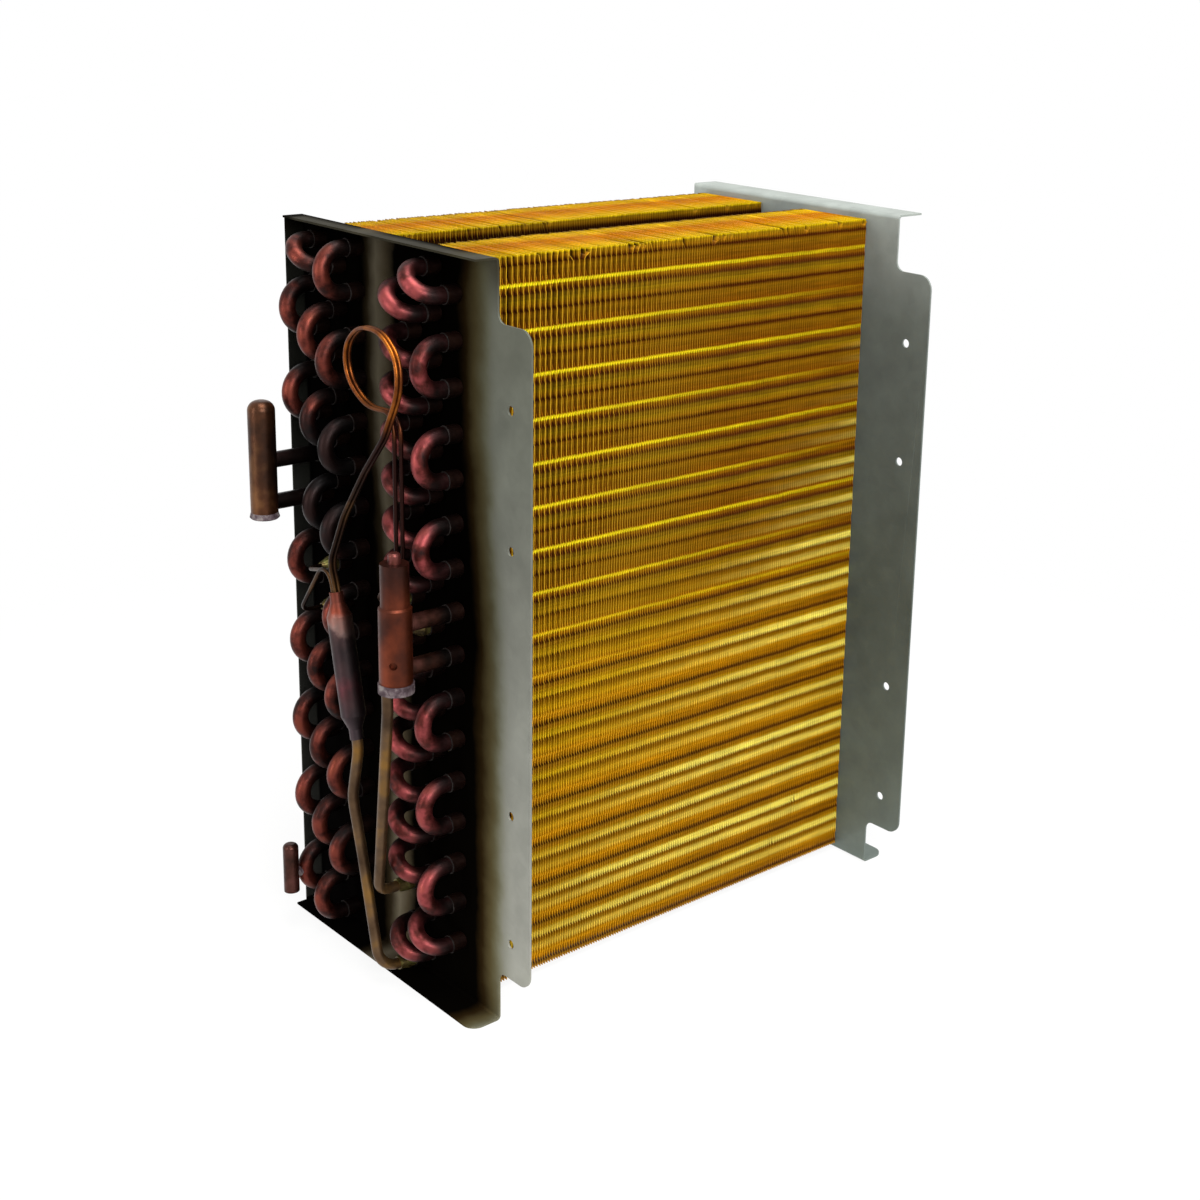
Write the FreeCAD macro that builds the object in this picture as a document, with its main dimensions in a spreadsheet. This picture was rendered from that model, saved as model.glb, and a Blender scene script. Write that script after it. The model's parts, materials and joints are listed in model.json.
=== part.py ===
# Evaporator coil: two finned slabs between folded tube sheets, with copper circuits, headers and feed pipes.
# X runs along the tubes, Y from the front slab to the rear one, Z up. The origin is under the left foot:
# Z=0 on the ground, X=0 at the middle of the foot's width, Y=0 in the plane of the fins' front edges.

import FreeCAD, Part
import Sketcher
import math
import os

os.makedirs("parts", exist_ok=True)

Vector = FreeCAD.Vector
Rotation = FreeCAD.Rotation
Placement = FreeCAD.Placement

doc = FreeCAD.newDocument("evaporator_coil")

# Driving dimensions in millimetres. "Out" is a distance from the outer face of the left tube sheet.
SIZES = {
    "fin_length": 304.8,
    "tube_pitch": 25.4,
    "row_pitch": 19.05,
    "tube_levels": 17,
    "slab_rows": 3,
    "slab_gap": 38.1,
    "tube_od": 9.52,
    "tube_wall": 0.5,
    "tube_fit": 0.1,
    "fin_pitch": 3.81,
    "fin_edge": 0.5,
    "fin_gap_depth": 4.0,
    "sheet_t": 1.2,
    "fold_radius": 1.5,
    "top_margin": 5.0,
    "bottom_margin": 4.2,
    "front_margin": 26.5,
    "rear_margin": 12.3,
    "foot_width": 20.5,
    "top_flange_left": 15.0,
    "top_flange_right": 21.0,
    "rear_flange": 14.0,
    "flap_depth": 29.0,
    "flap_base": 27.0,
    "flap_top_drop": 29.3,
    "flap_outer_radius": 9.0,
    "flap_notch_radius": 6.0,
    "foot_corner_radius": 8.0,
    "flap_hole": 5.5,
    "flap_hole_ahead": 11.2,
    "flap_hole_1": 49.2,
    "flap_hole_2": 127.9,
    "flap_hole_3": 281.3,
    "flap_hole_4": 358.0,
    "tube_proud": 9.0,
    "socket_depth": 6.5,
    "socket_fit": 0.05,
    "bell_shoulder": 1.5,
    "bend_leg": 10.0,
    "hairpin_proud": 8.0,
    "front_header_out": 42.0,
    "front_header_od": 18.5,
    "front_header_base": 203.0,
    "front_header_height": 44.0,
    "front_header_bevel": 1.2,
    "front_outlet_od": 15.9,
    "front_outlet_height": 24.0,
    "front_nub_od": 7.0,
    "front_nub_height": 6.0,
    "header_collar_od": 20.0,
    "header_collar_height": 5.5,
    "port_bore": 4.5,
    "port_depth": 3.0,
    "port_height": 12.5,
    "port_turn": 42.0,
    "rear_header_out": 44.3,
    "rear_header_od": 15.9,
    "rear_header_base": 268.2,
    "rear_header_height": 66.8,
    "rear_dome_radius": 6.0,
    "rear_cap_od": 17.4,
    "rear_cap_height": 3.7,
    "rear_cap_edge": 0.8,
    "liquid_od": 6.35,
    "liquid_bend_radius": 9.5,
    "capillary_od": 2.4,
    "capillary_bend_radius": 9.0,
    "reducer_length": 17.0,
    "reducer_taper": 6.0,
    "reducer_nose_wall": 0.7,
    "nose_socket": 4.0,
    "inlet_shift": 4.0,
    "inlet_shift_back": 3.0,
    "inlet_elbow_out": 32.0,
    "outlet_elbow_out": 32.0,
    "strainer_od": 14.5,
    "strainer_body": 58.0,
    "strainer_taper": 8.0,
    "strainer_neck": 6.0,
    "strainer_out": 36.0,
    "strainer_depth": 70.2,
    "strainer_height": 192.4,
    "strainer_tilt": 12.65,
    "line_sway": 6.2,
    "line_sway_low": 1.7,
    "line_step": 3.0,
    "capillary_gap": 0.1,
    "capillary_elbow_out": 31.0,
    "front_drop_high": 27.0,
    "front_drop_low": 20.8,
    "rear_hump_high": 16.0,
    "rear_hump_low": 26.0,
    "rear_elbow_out_high": 28.5,
    "rear_elbow_out_low": 34.0,
    "loop_depth": 37.5,
    "loop_height": 371.0,
    "loop_half_width": 27.5,
    "loop_half_height": 22.0,
    "loop_out": 37.4,
    "loop_advance": 5.4,
    "loop_start": 200.0,
    "loop_tail": 8.0,
    "column_shift": 0.55,
    "process_od": 9.52,
    "process_height": 32.0,
    "process_base": 20.0,
    "process_dome": 3.0,
    "process_gap": 0.3,
    "saddle_od": 7.0,
}

dims = doc.addObject("Spreadsheet::Sheet", "Dims")
for line, (alias, amount) in enumerate(SIZES.items(), start=1):
    dims.set(f"A{line}", alias.replace("_", " "))
    dims.set(f"B{line}", str(amount))
    dims.setAlias(f"B{line}", alias)
doc.recompute()

# Lengths and places worked out from the driving dimensions, as expressions for the sheet to solve.
FIN_HEIGHT = "(Dims.tube_levels * Dims.tube_pitch)"
SLAB_DEPTH = "(Dims.slab_rows * Dims.row_pitch)"
REAR_SLAB_START = f"({SLAB_DEPTH} + Dims.slab_gap)"
COIL_DEPTH = f"(2 * {SLAB_DEPTH} + Dims.slab_gap)"
FIN_START = "(Dims.foot_width / 2)"
FIN_END = f"({FIN_START} + Dims.fin_length)"
FIN_BASE = "Dims.bottom_margin"
LEFT_FACE = f"({FIN_START} - Dims.sheet_t)"
SHEET_HEIGHT = f"(Dims.bottom_margin + {FIN_HEIGHT} + Dims.top_margin)"
SHEET_REAR = f"({COIL_DEPTH} + Dims.rear_margin)"
DIAGONAL = "sqrt(Dims.row_pitch ^ 2 + (Dims.tube_pitch / 2) ^ 2)"
SOCKET_FLOOR = "(Dims.tube_proud - Dims.socket_depth)"
SOCKET_RADIUS = "(Dims.tube_od / 2 + Dims.socket_fit)"
TUBE_RADIUS = "(Dims.tube_od / 2)"
BORE_RADIUS = f"({TUBE_RADIUS} + Dims.tube_fit)"

nodes = []


def value(expression):
    return float(dims.evalExpression(expression))


def bind(piece, **expressions):
    for name, expression in expressions.items():
        piece.setExpression(name, expression)
    return piece


def place(piece, along_x, along_y, along_z):
    for axis, expression in zip("xyz", (along_x, along_y, along_z)):
        piece.setExpression(f"Placement.Base.{axis}", expression)
    return piece


def keep(piece, label):
    """Marks a finished piece as one of the coil's nodes."""
    piece.Label = label
    nodes.append(piece)
    return piece


def box(name, length, width, height, corner):
    piece = doc.addObject("Part::Box", name)
    bind(piece, Length=length, Width=width, Height=height)
    return place(piece, *corner)


AXES = {
    "X": Rotation(Vector(0, 1, 0), 90),
    "Y": Rotation(Vector(1, 0, 0), -90),
    "Z": Rotation(),
}


def cylinder(name, radius, height, base, axis="Z"):
    piece = doc.addObject("Part::Cylinder", name)
    piece.Placement = Placement(Vector(), AXES[axis])
    bind(piece, Radius=radius, Height=height)
    return place(piece, *base)


def fuse(name, pieces):
    piece = doc.addObject("Part::MultiFuse", name)
    piece.Shapes = pieces
    piece.Refine = True
    return piece


def cut(name, base, tool):
    piece = doc.addObject("Part::Cut", name)
    piece.Base = base
    piece.Tool = tool
    return piece


def feature(name, shape):
    piece = doc.addObject("Part::Feature", name)
    piece.Shape = shape
    return piece


def out_to_x(out):
    return f"({LEFT_FACE} - ({out}))"


def left(out, depth, height):
    """A point beside the left sheet: out from its face, behind the fins' front, above the fins' base."""
    return Vector(value(LEFT_FACE) - out, depth, value(FIN_BASE) + height)


# Tube places

# The six tube rows from front to rear. Each second row sits half a tube pitch higher.
FRONT_1, FRONT_2, FRONT_3, REAR_3, REAR_2, REAR_1 = range(6)
LEVELS = int(value("Dims.tube_levels"))


def row_depth(row):
    slab, place_in_slab = divmod(row, 3)
    return f"({slab} * {REAR_SLAB_START} + {place_in_slab + 0.5} * Dims.row_pitch)"


def level_height(row, level):
    share = 0.25 if row % 2 == 0 else 0.75
    return f"({FIN_BASE} + {level + share} * Dims.tube_pitch)"


def used_levels(row):
    """The first front row and the third rear row leave their lowest place empty."""
    return range(1 if row in (FRONT_1, REAR_3) else 0, LEVELS)


def tube_centre(row, level, out="0"):
    return Vector(value(out_to_x(out)), value(row_depth(row)), value(level_height(row, level)))


def tube_bores(name, start, length, rows):
    """Straight bores along X, one for each tube of the given rows."""
    radius = value(BORE_RADIUS)
    bores = []
    for row in rows:
        for level in used_levels(row):
            centre = tube_centre(row, level)
            centre.x = start
            bores.append(Part.makeCylinder(radius, length, centre, Vector(1, 0, 0)))
    return feature(name, Part.makeCompound(bores))


# Tube sheets


def plane_of(body, role):
    return next(item for item in body.Origin.OriginFeatures if item.Role == role)


def polygon_sketch(body, name, role, points):
    """A closed outline whose corners are bound to expressions along both axes of the plane."""
    sketch = body.newObject("Sketcher::SketchObject", name)
    sketch.AttachmentSupport = [(plane_of(body, role), "")]
    sketch.MapMode = "FlatFace"
    corners = [Vector(value(u), value(v), 0) for u, v in points]
    count = len(corners)
    for index in range(count):
        sketch.addGeometry(Part.LineSegment(corners[index], corners[(index + 1) % count]), False)
    for index in range(count):
        sketch.addConstraint(Sketcher.Constraint("Coincident", index, 2, (index + 1) % count, 1))
    for index, (u, v) in enumerate(points):
        for kind, expression, axis in (("DistanceX", u, -2), ("DistanceY", v, -1)):
            amount = value(expression)
            if abs(amount) < 1e-9:
                sketch.addConstraint(Sketcher.Constraint("PointOnObject", index, 1, axis))
            else:
                number = sketch.addConstraint(Sketcher.Constraint(kind, -1, 1, index, 1, amount))
                sketch.setExpression(f"Constraints[{number}]", expression)
    return sketch


def sheet_body(name, inner_face, outward, top_flange):
    """A folded sheet: upright web with a notched flap in front and three flanges turned outward."""
    body = doc.addObject("PartDesign::Body", name)
    bind(body, **{"Placement.Base.x": inner_face})
    body.setExpression("Placement.Base.z", "0")
    front = "(-Dims.front_margin)"
    flap_front = "(-Dims.front_margin - Dims.flap_depth)"
    flap_low = "(Dims.bottom_margin + Dims.flap_base)"
    flap_high = f"(Dims.bottom_margin + {FIN_HEIGHT} - Dims.flap_top_drop)"
    outline = [
        (front, "0"),
        (SHEET_REAR, "0"),
        (SHEET_REAR, SHEET_HEIGHT),
        (front, SHEET_HEIGHT),
        (front, flap_high),
        (flap_front, flap_high),
        (flap_front, flap_low),
        (front, flap_low),
    ]
    web = polygon_sketch(body, f"{name}_web_outline", "YZ_Plane", outline)
    pads = [("web", web, "Dims.sheet_t")]
    top_start = f"({SHEET_HEIGHT} - Dims.sheet_t)"
    rear_start = f"({SHEET_REAR} - Dims.sheet_t)"
    for flange, low, high, width in (
        ("foot", (front, "0"), (SHEET_REAR, "Dims.sheet_t"), "Dims.foot_width"),
        ("top", (front, top_start), (SHEET_REAR, SHEET_HEIGHT), top_flange),
        ("rear", (rear_start, "0"), (SHEET_REAR, SHEET_HEIGHT), "Dims.rear_flange"),
    ):
        corners = [low, (high[0], low[1]), high, (low[0], high[1])]
        sketch = polygon_sketch(body, f"{name}_{flange}_outline", "YZ_Plane", corners)
        pads.append((flange, sketch, width))
    for part_name, sketch, length in pads:
        pad = body.newObject("PartDesign::Pad", f"{name}_{part_name}")
        pad.Profile = sketch
        pad.Reversed = outward < 0
        bind(pad, Length=length)
    doc.recompute()
    return body


def edges_where(shape, test):
    return [f"Edge{number}" for number, edge in enumerate(shape.Edges, start=1) if test(edge)]


def fillet_edges(body, name, radius, test):
    base = body.Tip
    names = edges_where(base.Shape, test)
    fillet = body.newObject("PartDesign::Fillet", name)
    fillet.Base = (base, names)
    bind(fillet, Radius=radius)
    doc.recompute()
    return fillet


def near(amount, expression, reach=0.01):
    return abs(amount - value(expression)) < reach


def spans(edge, axis):
    """Tells whether a straight edge runs along one axis, given as its index."""
    low = edge.BoundBox
    lengths = (low.XLength, low.YLength, low.ZLength)
    return all((length > 0.01) == (index == axis) for index, length in enumerate(lengths))


def finish_sheet(body, name):
    """Rounds the folds and the corners, then opens the tube and fixing holes."""
    inner = f"({SHEET_REAR} - Dims.sheet_t)"
    top_inner = f"({SHEET_HEIGHT} - Dims.sheet_t)"

    def inside_fold(edge):
        middle = edge.CenterOfMass
        on_web = abs(abs(middle.x) - value("Dims.sheet_t")) < 0.01
        low = spans(edge, 1) and near(middle.z, "Dims.sheet_t")
        high = spans(edge, 1) and near(middle.z, top_inner)
        rear = spans(edge, 2) and near(middle.y, inner)
        return on_web and (low or high or rear)

    def outside_fold(edge):
        middle = edge.CenterOfMass
        low = spans(edge, 1) and near(middle.z, "0")
        high = spans(edge, 1) and near(middle.z, SHEET_HEIGHT)
        rear = spans(edge, 2) and near(middle.y, SHEET_REAR)
        return abs(middle.x) < 0.01 and (low or high or rear)

    fillet_edges(body, f"{name}_inner_folds", "Dims.fold_radius", inside_fold)
    fillet_edges(body, f"{name}_outer_folds", "Dims.fold_radius + Dims.sheet_t", outside_fold)

    def across(edge, depth):
        return spans(edge, 0) and near(edge.CenterOfMass.y, depth)

    def flap_corner(edge):
        return across(edge, "-Dims.front_margin - Dims.flap_depth")

    def notch_corner(edge):
        flap_low = "Dims.bottom_margin + Dims.flap_base"
        flap_high = f"Dims.bottom_margin + {FIN_HEIGHT} - Dims.flap_top_drop"
        level = edge.CenterOfMass.z
        return across(edge, "-Dims.front_margin") and (near(level, flap_low) or near(level, flap_high))

    def foot_corner(edge):
        middle = edge.CenterOfMass
        at_lip = abs(abs(middle.x) - value("Dims.foot_width")) < 0.01
        return at_lip and spans(edge, 2) and near(middle.y, "-Dims.front_margin")

    fillet_edges(body, f"{name}_flap_corners", "Dims.flap_outer_radius", flap_corner)
    fillet_edges(body, f"{name}_flap_notches", "Dims.flap_notch_radius", notch_corner)
    fillet_edges(body, f"{name}_foot_corner", "Dims.foot_corner_radius", foot_corner)

    holes = body.newObject("Sketcher::SketchObject", f"{name}_holes")
    holes.AttachmentSupport = [(plane_of(body, "YZ_Plane"), "")]
    holes.MapMode = "FlatFace"
    for number in range(1, 5):
        level = f"Dims.bottom_margin + Dims.flap_hole_{number}"
        add_circle(holes, "-Dims.front_margin - Dims.flap_hole_ahead", level, "Dims.flap_hole / 2")
    for row in range(6):
        for level in used_levels(row):
            add_circle(holes, row_depth(row), level_height(row, level), BORE_RADIUS)
    doc.recompute()
    before = body.Tip.Shape.Volume
    pocket = body.newObject("PartDesign::Pocket", f"{name}_openings")
    pocket.Profile = holes
    pocket.Type = "Length"
    bind(pocket, Length="2 * Dims.sheet_t")
    pocket.Midplane = True
    doc.recompute()
    print(name, "holes take", round(before - body.Shape.Volume, 1), "cubic mm")


def add_circle(sketch, depth, height, radius):
    centre = Vector(value(depth), value(height), 0)
    number = sketch.addGeometry(Part.Circle(centre, Vector(0, 0, 1), value(radius)), False)
    for kind, expression, amount in (("DistanceX", depth, centre.x), ("DistanceY", height, centre.y)):
        bound = sketch.addConstraint(Sketcher.Constraint(kind, -1, 1, number, 3, amount))
        sketch.setExpression(f"Constraints[{bound}]", expression)
    bound = sketch.addConstraint(Sketcher.Constraint("Radius", number, value(radius)))
    sketch.setExpression(f"Constraints[{bound}]", radius)


def tube_sheet(name, inner_face, outward, top_flange):
    body = sheet_body(name, inner_face, outward, top_flange)
    finish_sheet(body, name)
    return keep(body, name)


tube_sheet("tube_sheet_left", FIN_START, -1, "Dims.top_flange_left")
tube_sheet("tube_sheet_right", FIN_END, 1, "Dims.top_flange_right")


# Fin packs


def fin_pack(name, slab_start, rows):
    """A block of fins on their tubes: each gap runs right round it, as deep as light reaches."""
    corner = (FIN_START, slab_start, FIN_BASE)
    block = box(f"{name}_block", "Dims.fin_length", SLAB_DEPTH, FIN_HEIGHT, corner)
    gap = "(Dims.fin_pitch - Dims.fin_edge)"
    outer = box(f"{name}_gap_outside", gap, SLAB_DEPTH, FIN_HEIGHT, corner)
    inner_corner = (
        FIN_START,
        f"{slab_start} + Dims.fin_gap_depth",
        f"{FIN_BASE} + Dims.fin_gap_depth",
    )
    inner = box(
        f"{name}_gap_inside",
        gap,
        f"{SLAB_DEPTH} - 2 * Dims.fin_gap_depth",
        f"{FIN_HEIGHT} - 2 * Dims.fin_gap_depth",
        inner_corner,
    )
    ring = cut(f"{name}_gap", outer, inner)
    doc.recompute()
    count = int(value("Dims.fin_length / Dims.fin_pitch"))
    spare = value("Dims.fin_length") - count * value("Dims.fin_pitch")
    first = spare / 2 + value("Dims.fin_edge / 2")
    rings = []
    for number in range(count):
        copy = ring.Shape.copy()
        copy.translate(Vector(first + number * value("Dims.fin_pitch"), 0, 0))
        rings.append(copy)
    gaps = feature(f"{name}_gaps", Part.makeCompound(rings))
    bores = tube_bores(f"{name}_bores", value(FIN_START), value("Dims.fin_length"), rows)
    finned = cut(f"{name}_finned", block, gaps)
    return keep(cut(name, finned, bores), name)


fin_pack("fin_pack_front", "0", (FRONT_1, FRONT_2, FRONT_3))
fin_pack("fin_pack_rear", REAR_SLAB_START, (REAR_3, REAR_2, REAR_1))


# Bent tubes


def u_tube(name, span, leg, bell):
    """A U of tube in the XY plane, its legs along -Y. Bells with sockets end the legs of a hairpin."""
    bow = doc.addObject("Part::Torus", f"{name}_bow")
    bow.Angle3 = 180
    bind(bow, Radius1=f"{span} / 2", Radius2=TUBE_RADIUS)
    pieces = []
    sockets = []
    for side, sign in (("a", ""), ("b", "-")):
        across = f"{sign}{span} / 2"
        foot = f"-({leg})"
        pieces.append(cylinder(f"{name}_leg_{side}", TUBE_RADIUS, leg, (across, foot, "0"), "Y"))
        if bell:
            radius = f"({SOCKET_RADIUS} + Dims.tube_wall)"
            mouth = (across, foot, "0")
            length = "Dims.socket_depth + Dims.bell_shoulder"
            pieces.append(cylinder(f"{name}_bell_{side}", radius, length, mouth, "Y"))
            sockets.append(
                cylinder(f"{name}_socket_{side}", SOCKET_RADIUS, "Dims.socket_depth", mouth, "Y")
            )
    bent = fuse(f"{name}_bent", pieces + [bow])
    if bell:
        bent = cut(f"{name}_belled", bent, fuse(f"{name}_sockets", sockets))
    doc.recompute()
    return bent


def set_between(master, first, second, facing, crown_x):
    """A copy of a bent tube with its legs on two tube centres and its bow facing left or right."""
    span = (second - first).normalize()
    bow = Vector(facing, 0, 0)
    normal = span.cross(bow)
    matrix = FreeCAD.Matrix(
        span.x, bow.x, normal.x, 0,
        span.y, bow.y, normal.y, 0,
        span.z, bow.z, normal.z, 0,
        0, 0, 0, 1,
    )
    middle = (first + second) * 0.5
    middle.x = crown_x
    copy = master.Shape.copy()
    copy.Placement = Placement(middle, Rotation(matrix))
    return copy


def tube_group(label, master, pairs, facing, crown_x):
    """Like bent tubes side by side, one for each pair of (row, level) places."""
    copies = [
        set_between(master, tube_centre(*first), tube_centre(*second), facing, crown_x)
        for first, second in pairs
    ]
    shape = copies[0] if len(copies) == 1 else Part.makeCompound(copies)
    return keep(feature(label, shape), label)


def upright_pairs(row, lower_levels):
    return [((row, level), (row, level + 1)) for level in lower_levels]


HAIRPIN_LEG = "(Dims.tube_proud + 2 * Dims.sheet_t + Dims.fin_length + Dims.hairpin_proud)"
BEND_CROWN = f"({SOCKET_FLOOR} + Dims.bend_leg)"

hairpin = u_tube("hairpin_upright", "Dims.tube_pitch", HAIRPIN_LEG, True)
slant_hairpin = u_tube("hairpin_slant", DIAGONAL, HAIRPIN_LEG, True)
bend = u_tube("bend_upright", "Dims.tube_pitch", "Dims.bend_leg", False)
slant_bend = u_tube("bend_slant", DIAGONAL, "Dims.bend_leg", False)

right_crown = value(f"{FIN_END} + Dims.sheet_t + Dims.hairpin_proud")
left_crown = value(out_to_x(BEND_CROWN))
top = LEVELS - 1

odd_levels = range(1, top, 2)
tube_group("hairpins_front_row_1", hairpin, upright_pairs(FRONT_1, odd_levels), 1, right_crown)
tube_group("hairpins_front_row_2", hairpin, upright_pairs(FRONT_2, odd_levels), 1, right_crown)
tube_group("hairpins_front_row_3", hairpin, upright_pairs(FRONT_3, odd_levels), 1, right_crown)
tube_group("hairpin_front_bottom", slant_hairpin, [((FRONT_2, 0), (FRONT_3, 0))], 1, right_crown)
tube_group("hairpins_rear_row_1", hairpin, upright_pairs(REAR_1, odd_levels), 1, right_crown)
tube_group("hairpin_rear_bottom", slant_hairpin, [((REAR_1, 0), (REAR_2, 0))], 1, right_crown)
rear_slants = [((REAR_2, level), (REAR_3, level)) for level in range(1, LEVELS)]
tube_group("hairpins_rear_slant", slant_hairpin, rear_slants, 1, right_crown)

# The middle levels of each circuit are left for the suction headers and the feed tubes.
SUCTION_FRONT = (8, 9)
SUCTION_REAR = (10, 11)
FEED_REAR = (8, 9)
FEED_FRONT_2 = 8
FEED_FRONT_3 = 9
LIQUID_IN = (FRONT_3, 2)
LIQUID_OUT = (FRONT_3, 0)


def even_levels_without(taken, start, stop):
    return [level for level in range(start, stop, 2) if level not in taken]


front_pairs = upright_pairs(FRONT_1, even_levels_without(SUCTION_FRONT, 2, top))
tube_group("bends_front_row_1", bend, front_pairs, -1, left_crown)
tube_group("bend_front_top", slant_bend, [((FRONT_1, top), (FRONT_2, top))], -1, left_crown)
tube_group("bend_front_low", slant_bend, [((FRONT_1, 1), (FRONT_2, 1))], -1, left_crown)
front_slants = [
    ((FRONT_2, level), (FRONT_3, level + 1)) for level in range(top) if level not in (1, FEED_FRONT_2)
]
tube_group("bends_front_slant", slant_bend, front_slants, -1, left_crown)
rear_pairs = upright_pairs(REAR_1, even_levels_without(SUCTION_REAR, 0, top))
tube_group("bends_rear_row_1", bend, rear_pairs, -1, left_crown)
tube_group("bend_rear_top", slant_bend, [((REAR_1, top), (REAR_2, top))], -1, left_crown)
middle_pairs = upright_pairs(REAR_2, even_levels_without(FEED_REAR, 0, top))
tube_group("bends_rear_row_2", bend, middle_pairs, -1, left_crown)
tube_group("bends_rear_row_3", bend, upright_pairs(REAR_3, odd_levels), -1, left_crown)


# Turned pieces


def turned(name, profile, turn, base):
    """A body revolved about its own X from (along, radius) corners, then turned and put in its place."""
    body = doc.addObject("PartDesign::Body", name)
    body.Placement = Placement(Vector(), turn)
    place(body, *base)
    sketch = polygon_sketch(body, f"{name}_profile", "XY_Plane", profile)
    revolution = body.newObject("PartDesign::Revolution", f"{name}_turned")
    revolution.Profile = sketch
    revolution.ReferenceAxis = (sketch, ["H_Axis"])
    revolution.Angle = 360
    doc.recompute()
    return body


def round_rim(body, radius, along, rim_radius):
    """Rounds the circular edge of a turned piece at a distance along its axis."""

    def is_rim(edge):
        if not hasattr(edge.Curve, "Radius"):
            return False
        return near(edge.Curve.Center.x, along) and near(edge.Curve.Radius, rim_radius)

    fillet_edges(body, f"{body.Name}_dome", radius, is_rim)


UPWARD = Rotation(Vector(0, 1, 0), -90)
OUTWARD = Rotation(Vector(0, 0, 1), 180)

FRONT_AXIS = (out_to_x("Dims.front_header_out"), row_depth(FRONT_1))
REAR_AXIS = (out_to_x("Dims.rear_header_out"), row_depth(REAR_1))


def suction_stub(label, row, level, header_out, header_od):
    """A straight tube from its socket to the header, its end cut to the header's round wall."""
    start = out_to_x(header_out)
    depth = row_depth(row)
    height = level_height(row, level)
    length = f"{header_out} - {SOCKET_FLOOR}"
    tube = cylinder(f"{label}_tube", TUBE_RADIUS, length, (start, depth, height), "X")
    low = f"{height} - Dims.tube_od"
    wall = cylinder(f"{label}_wall", f"{header_od} / 2", "2 * Dims.tube_od", (start, depth, low))
    return keep(cut(label, tube, wall), label)


def front_header():
    """The wide collecting tube of the front slab, with a small port low on its front."""
    radius = "Dims.front_header_od / 2"
    height = "Dims.front_header_height"
    profile = [
        ("0", "0"),
        ("0", radius),
        (f"{height} - Dims.front_header_bevel", radius),
        (height, f"{radius} - Dims.front_header_bevel"),
        (height, "0"),
    ]
    base = (*FRONT_AXIS, f"{FIN_BASE} + Dims.front_header_base")
    body = turned("front_header_body", profile, UPWARD, base)
    angle = math.radians(value("Dims.port_turn"))
    facing = Vector(-math.sin(angle), -math.cos(angle), 0)
    start = Vector(*(value(expression) for expression in base))
    start.z += value("Dims.port_height")
    start += facing * value(f"{radius} - Dims.port_depth")
    drill = doc.addObject("Part::Cylinder", "front_header_port")
    bind(drill, Radius="Dims.port_bore / 2", Height="2 * Dims.port_depth")
    drill.Placement = Placement(start, Rotation(Vector(0, 0, 1), facing))
    return keep(cut("front_header", body, drill), "front_header")


def front_header_ends():
    header_base = f"{FIN_BASE} + Dims.front_header_base"
    header_top = f"{header_base} + Dims.front_header_height"
    outlet_top = f"{header_top} + Dims.front_outlet_height"
    radius = "Dims.front_outlet_od / 2"
    height = "Dims.front_outlet_height"
    profile = [("0", "0"), ("0", radius), (height, radius), (height, "0")]
    outlet = turned("front_suction_outlet", profile, UPWARD, (*FRONT_AXIS, header_top))
    keep(outlet, "front_suction_outlet")
    radius = "Dims.front_nub_od / 2"
    height = "Dims.front_nub_height"
    profile = [("0", "0"), ("0", radius), (height, radius), (height, "0")]
    nub = turned("front_outlet_nub", profile, UPWARD, (*FRONT_AXIS, outlet_top))
    round_rim(nub, "Dims.front_nub_od / 4", height, radius)
    keep(nub, "front_outlet_nub")
    radius = "Dims.header_collar_od / 2"
    height = "Dims.header_collar_height"
    profile = [("0", "0"), ("0", radius), (height, radius), (height, "0")]
    base = (*FRONT_AXIS, f"{header_base} - {height}")
    collar = turned("front_header_collar", profile, UPWARD, base)
    keep(collar, "front_header_collar")


def rear_header():
    """The collecting tube of the rear slab: spun to a dome above, with a flared cap below."""
    radius = "Dims.rear_header_od / 2"
    height = "Dims.rear_header_height"
    base = f"{FIN_BASE} + Dims.rear_header_base"
    profile = [("0", "0"), ("0", radius), (height, radius), (height, "0")]
    body = turned("rear_header", profile, UPWARD, (*REAR_AXIS, base))
    round_rim(body, "Dims.rear_dome_radius", height, radius)
    keep(body, "rear_header")
    flare = "Dims.rear_cap_od / 2"
    cap_height = "Dims.rear_cap_height"
    edge = "Dims.rear_cap_edge"
    profile = [
        ("0", "0"),
        ("0", f"{flare} - {edge}"),
        (edge, flare),
        (cap_height, radius),
        (cap_height, "0"),
    ]
    cap = turned("rear_header_cap", profile, UPWARD, (*REAR_AXIS, f"{base} - {cap_height}"))
    keep(cap, "rear_header_cap")


front_header()
front_header_ends()
rear_header()
for stub_label, stub_row, stub_level, header in (
    ("front_suction_stub_low", FRONT_1, SUCTION_FRONT[0], "front"),
    ("front_suction_stub_high", FRONT_1, SUCTION_FRONT[1], "front"),
    ("rear_suction_stub_low", REAR_1, SUCTION_REAR[0], "rear"),
    ("rear_suction_stub_high", REAR_1, SUCTION_REAR[1], "rear"),
):
    header_size = (f"Dims.{header}_header_out", f"Dims.{header}_header_od")
    suction_stub(stub_label, stub_row, stub_level, *header_size)


def reducer(label, row, level, pipe_od):
    """A spun-down tube end: it seats in a bell and takes a thinner pipe in its nose."""
    bore = f"{pipe_od} / 2 + Dims.socket_fit"
    nose = f"{bore} + Dims.reducer_nose_wall"
    length = "Dims.reducer_length"
    floor = f"{length} - Dims.nose_socket"
    profile = [
        ("0", "0"),
        ("0", TUBE_RADIUS),
        (f"{length} - Dims.reducer_taper", TUBE_RADIUS),
        (length, nose),
        (length, bore),
        (floor, bore),
        (floor, "0"),
    ]
    base = (out_to_x(SOCKET_FLOOR), row_depth(row), level_height(row, level))
    return keep(turned(label, profile, OUTWARD, base), label)


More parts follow.
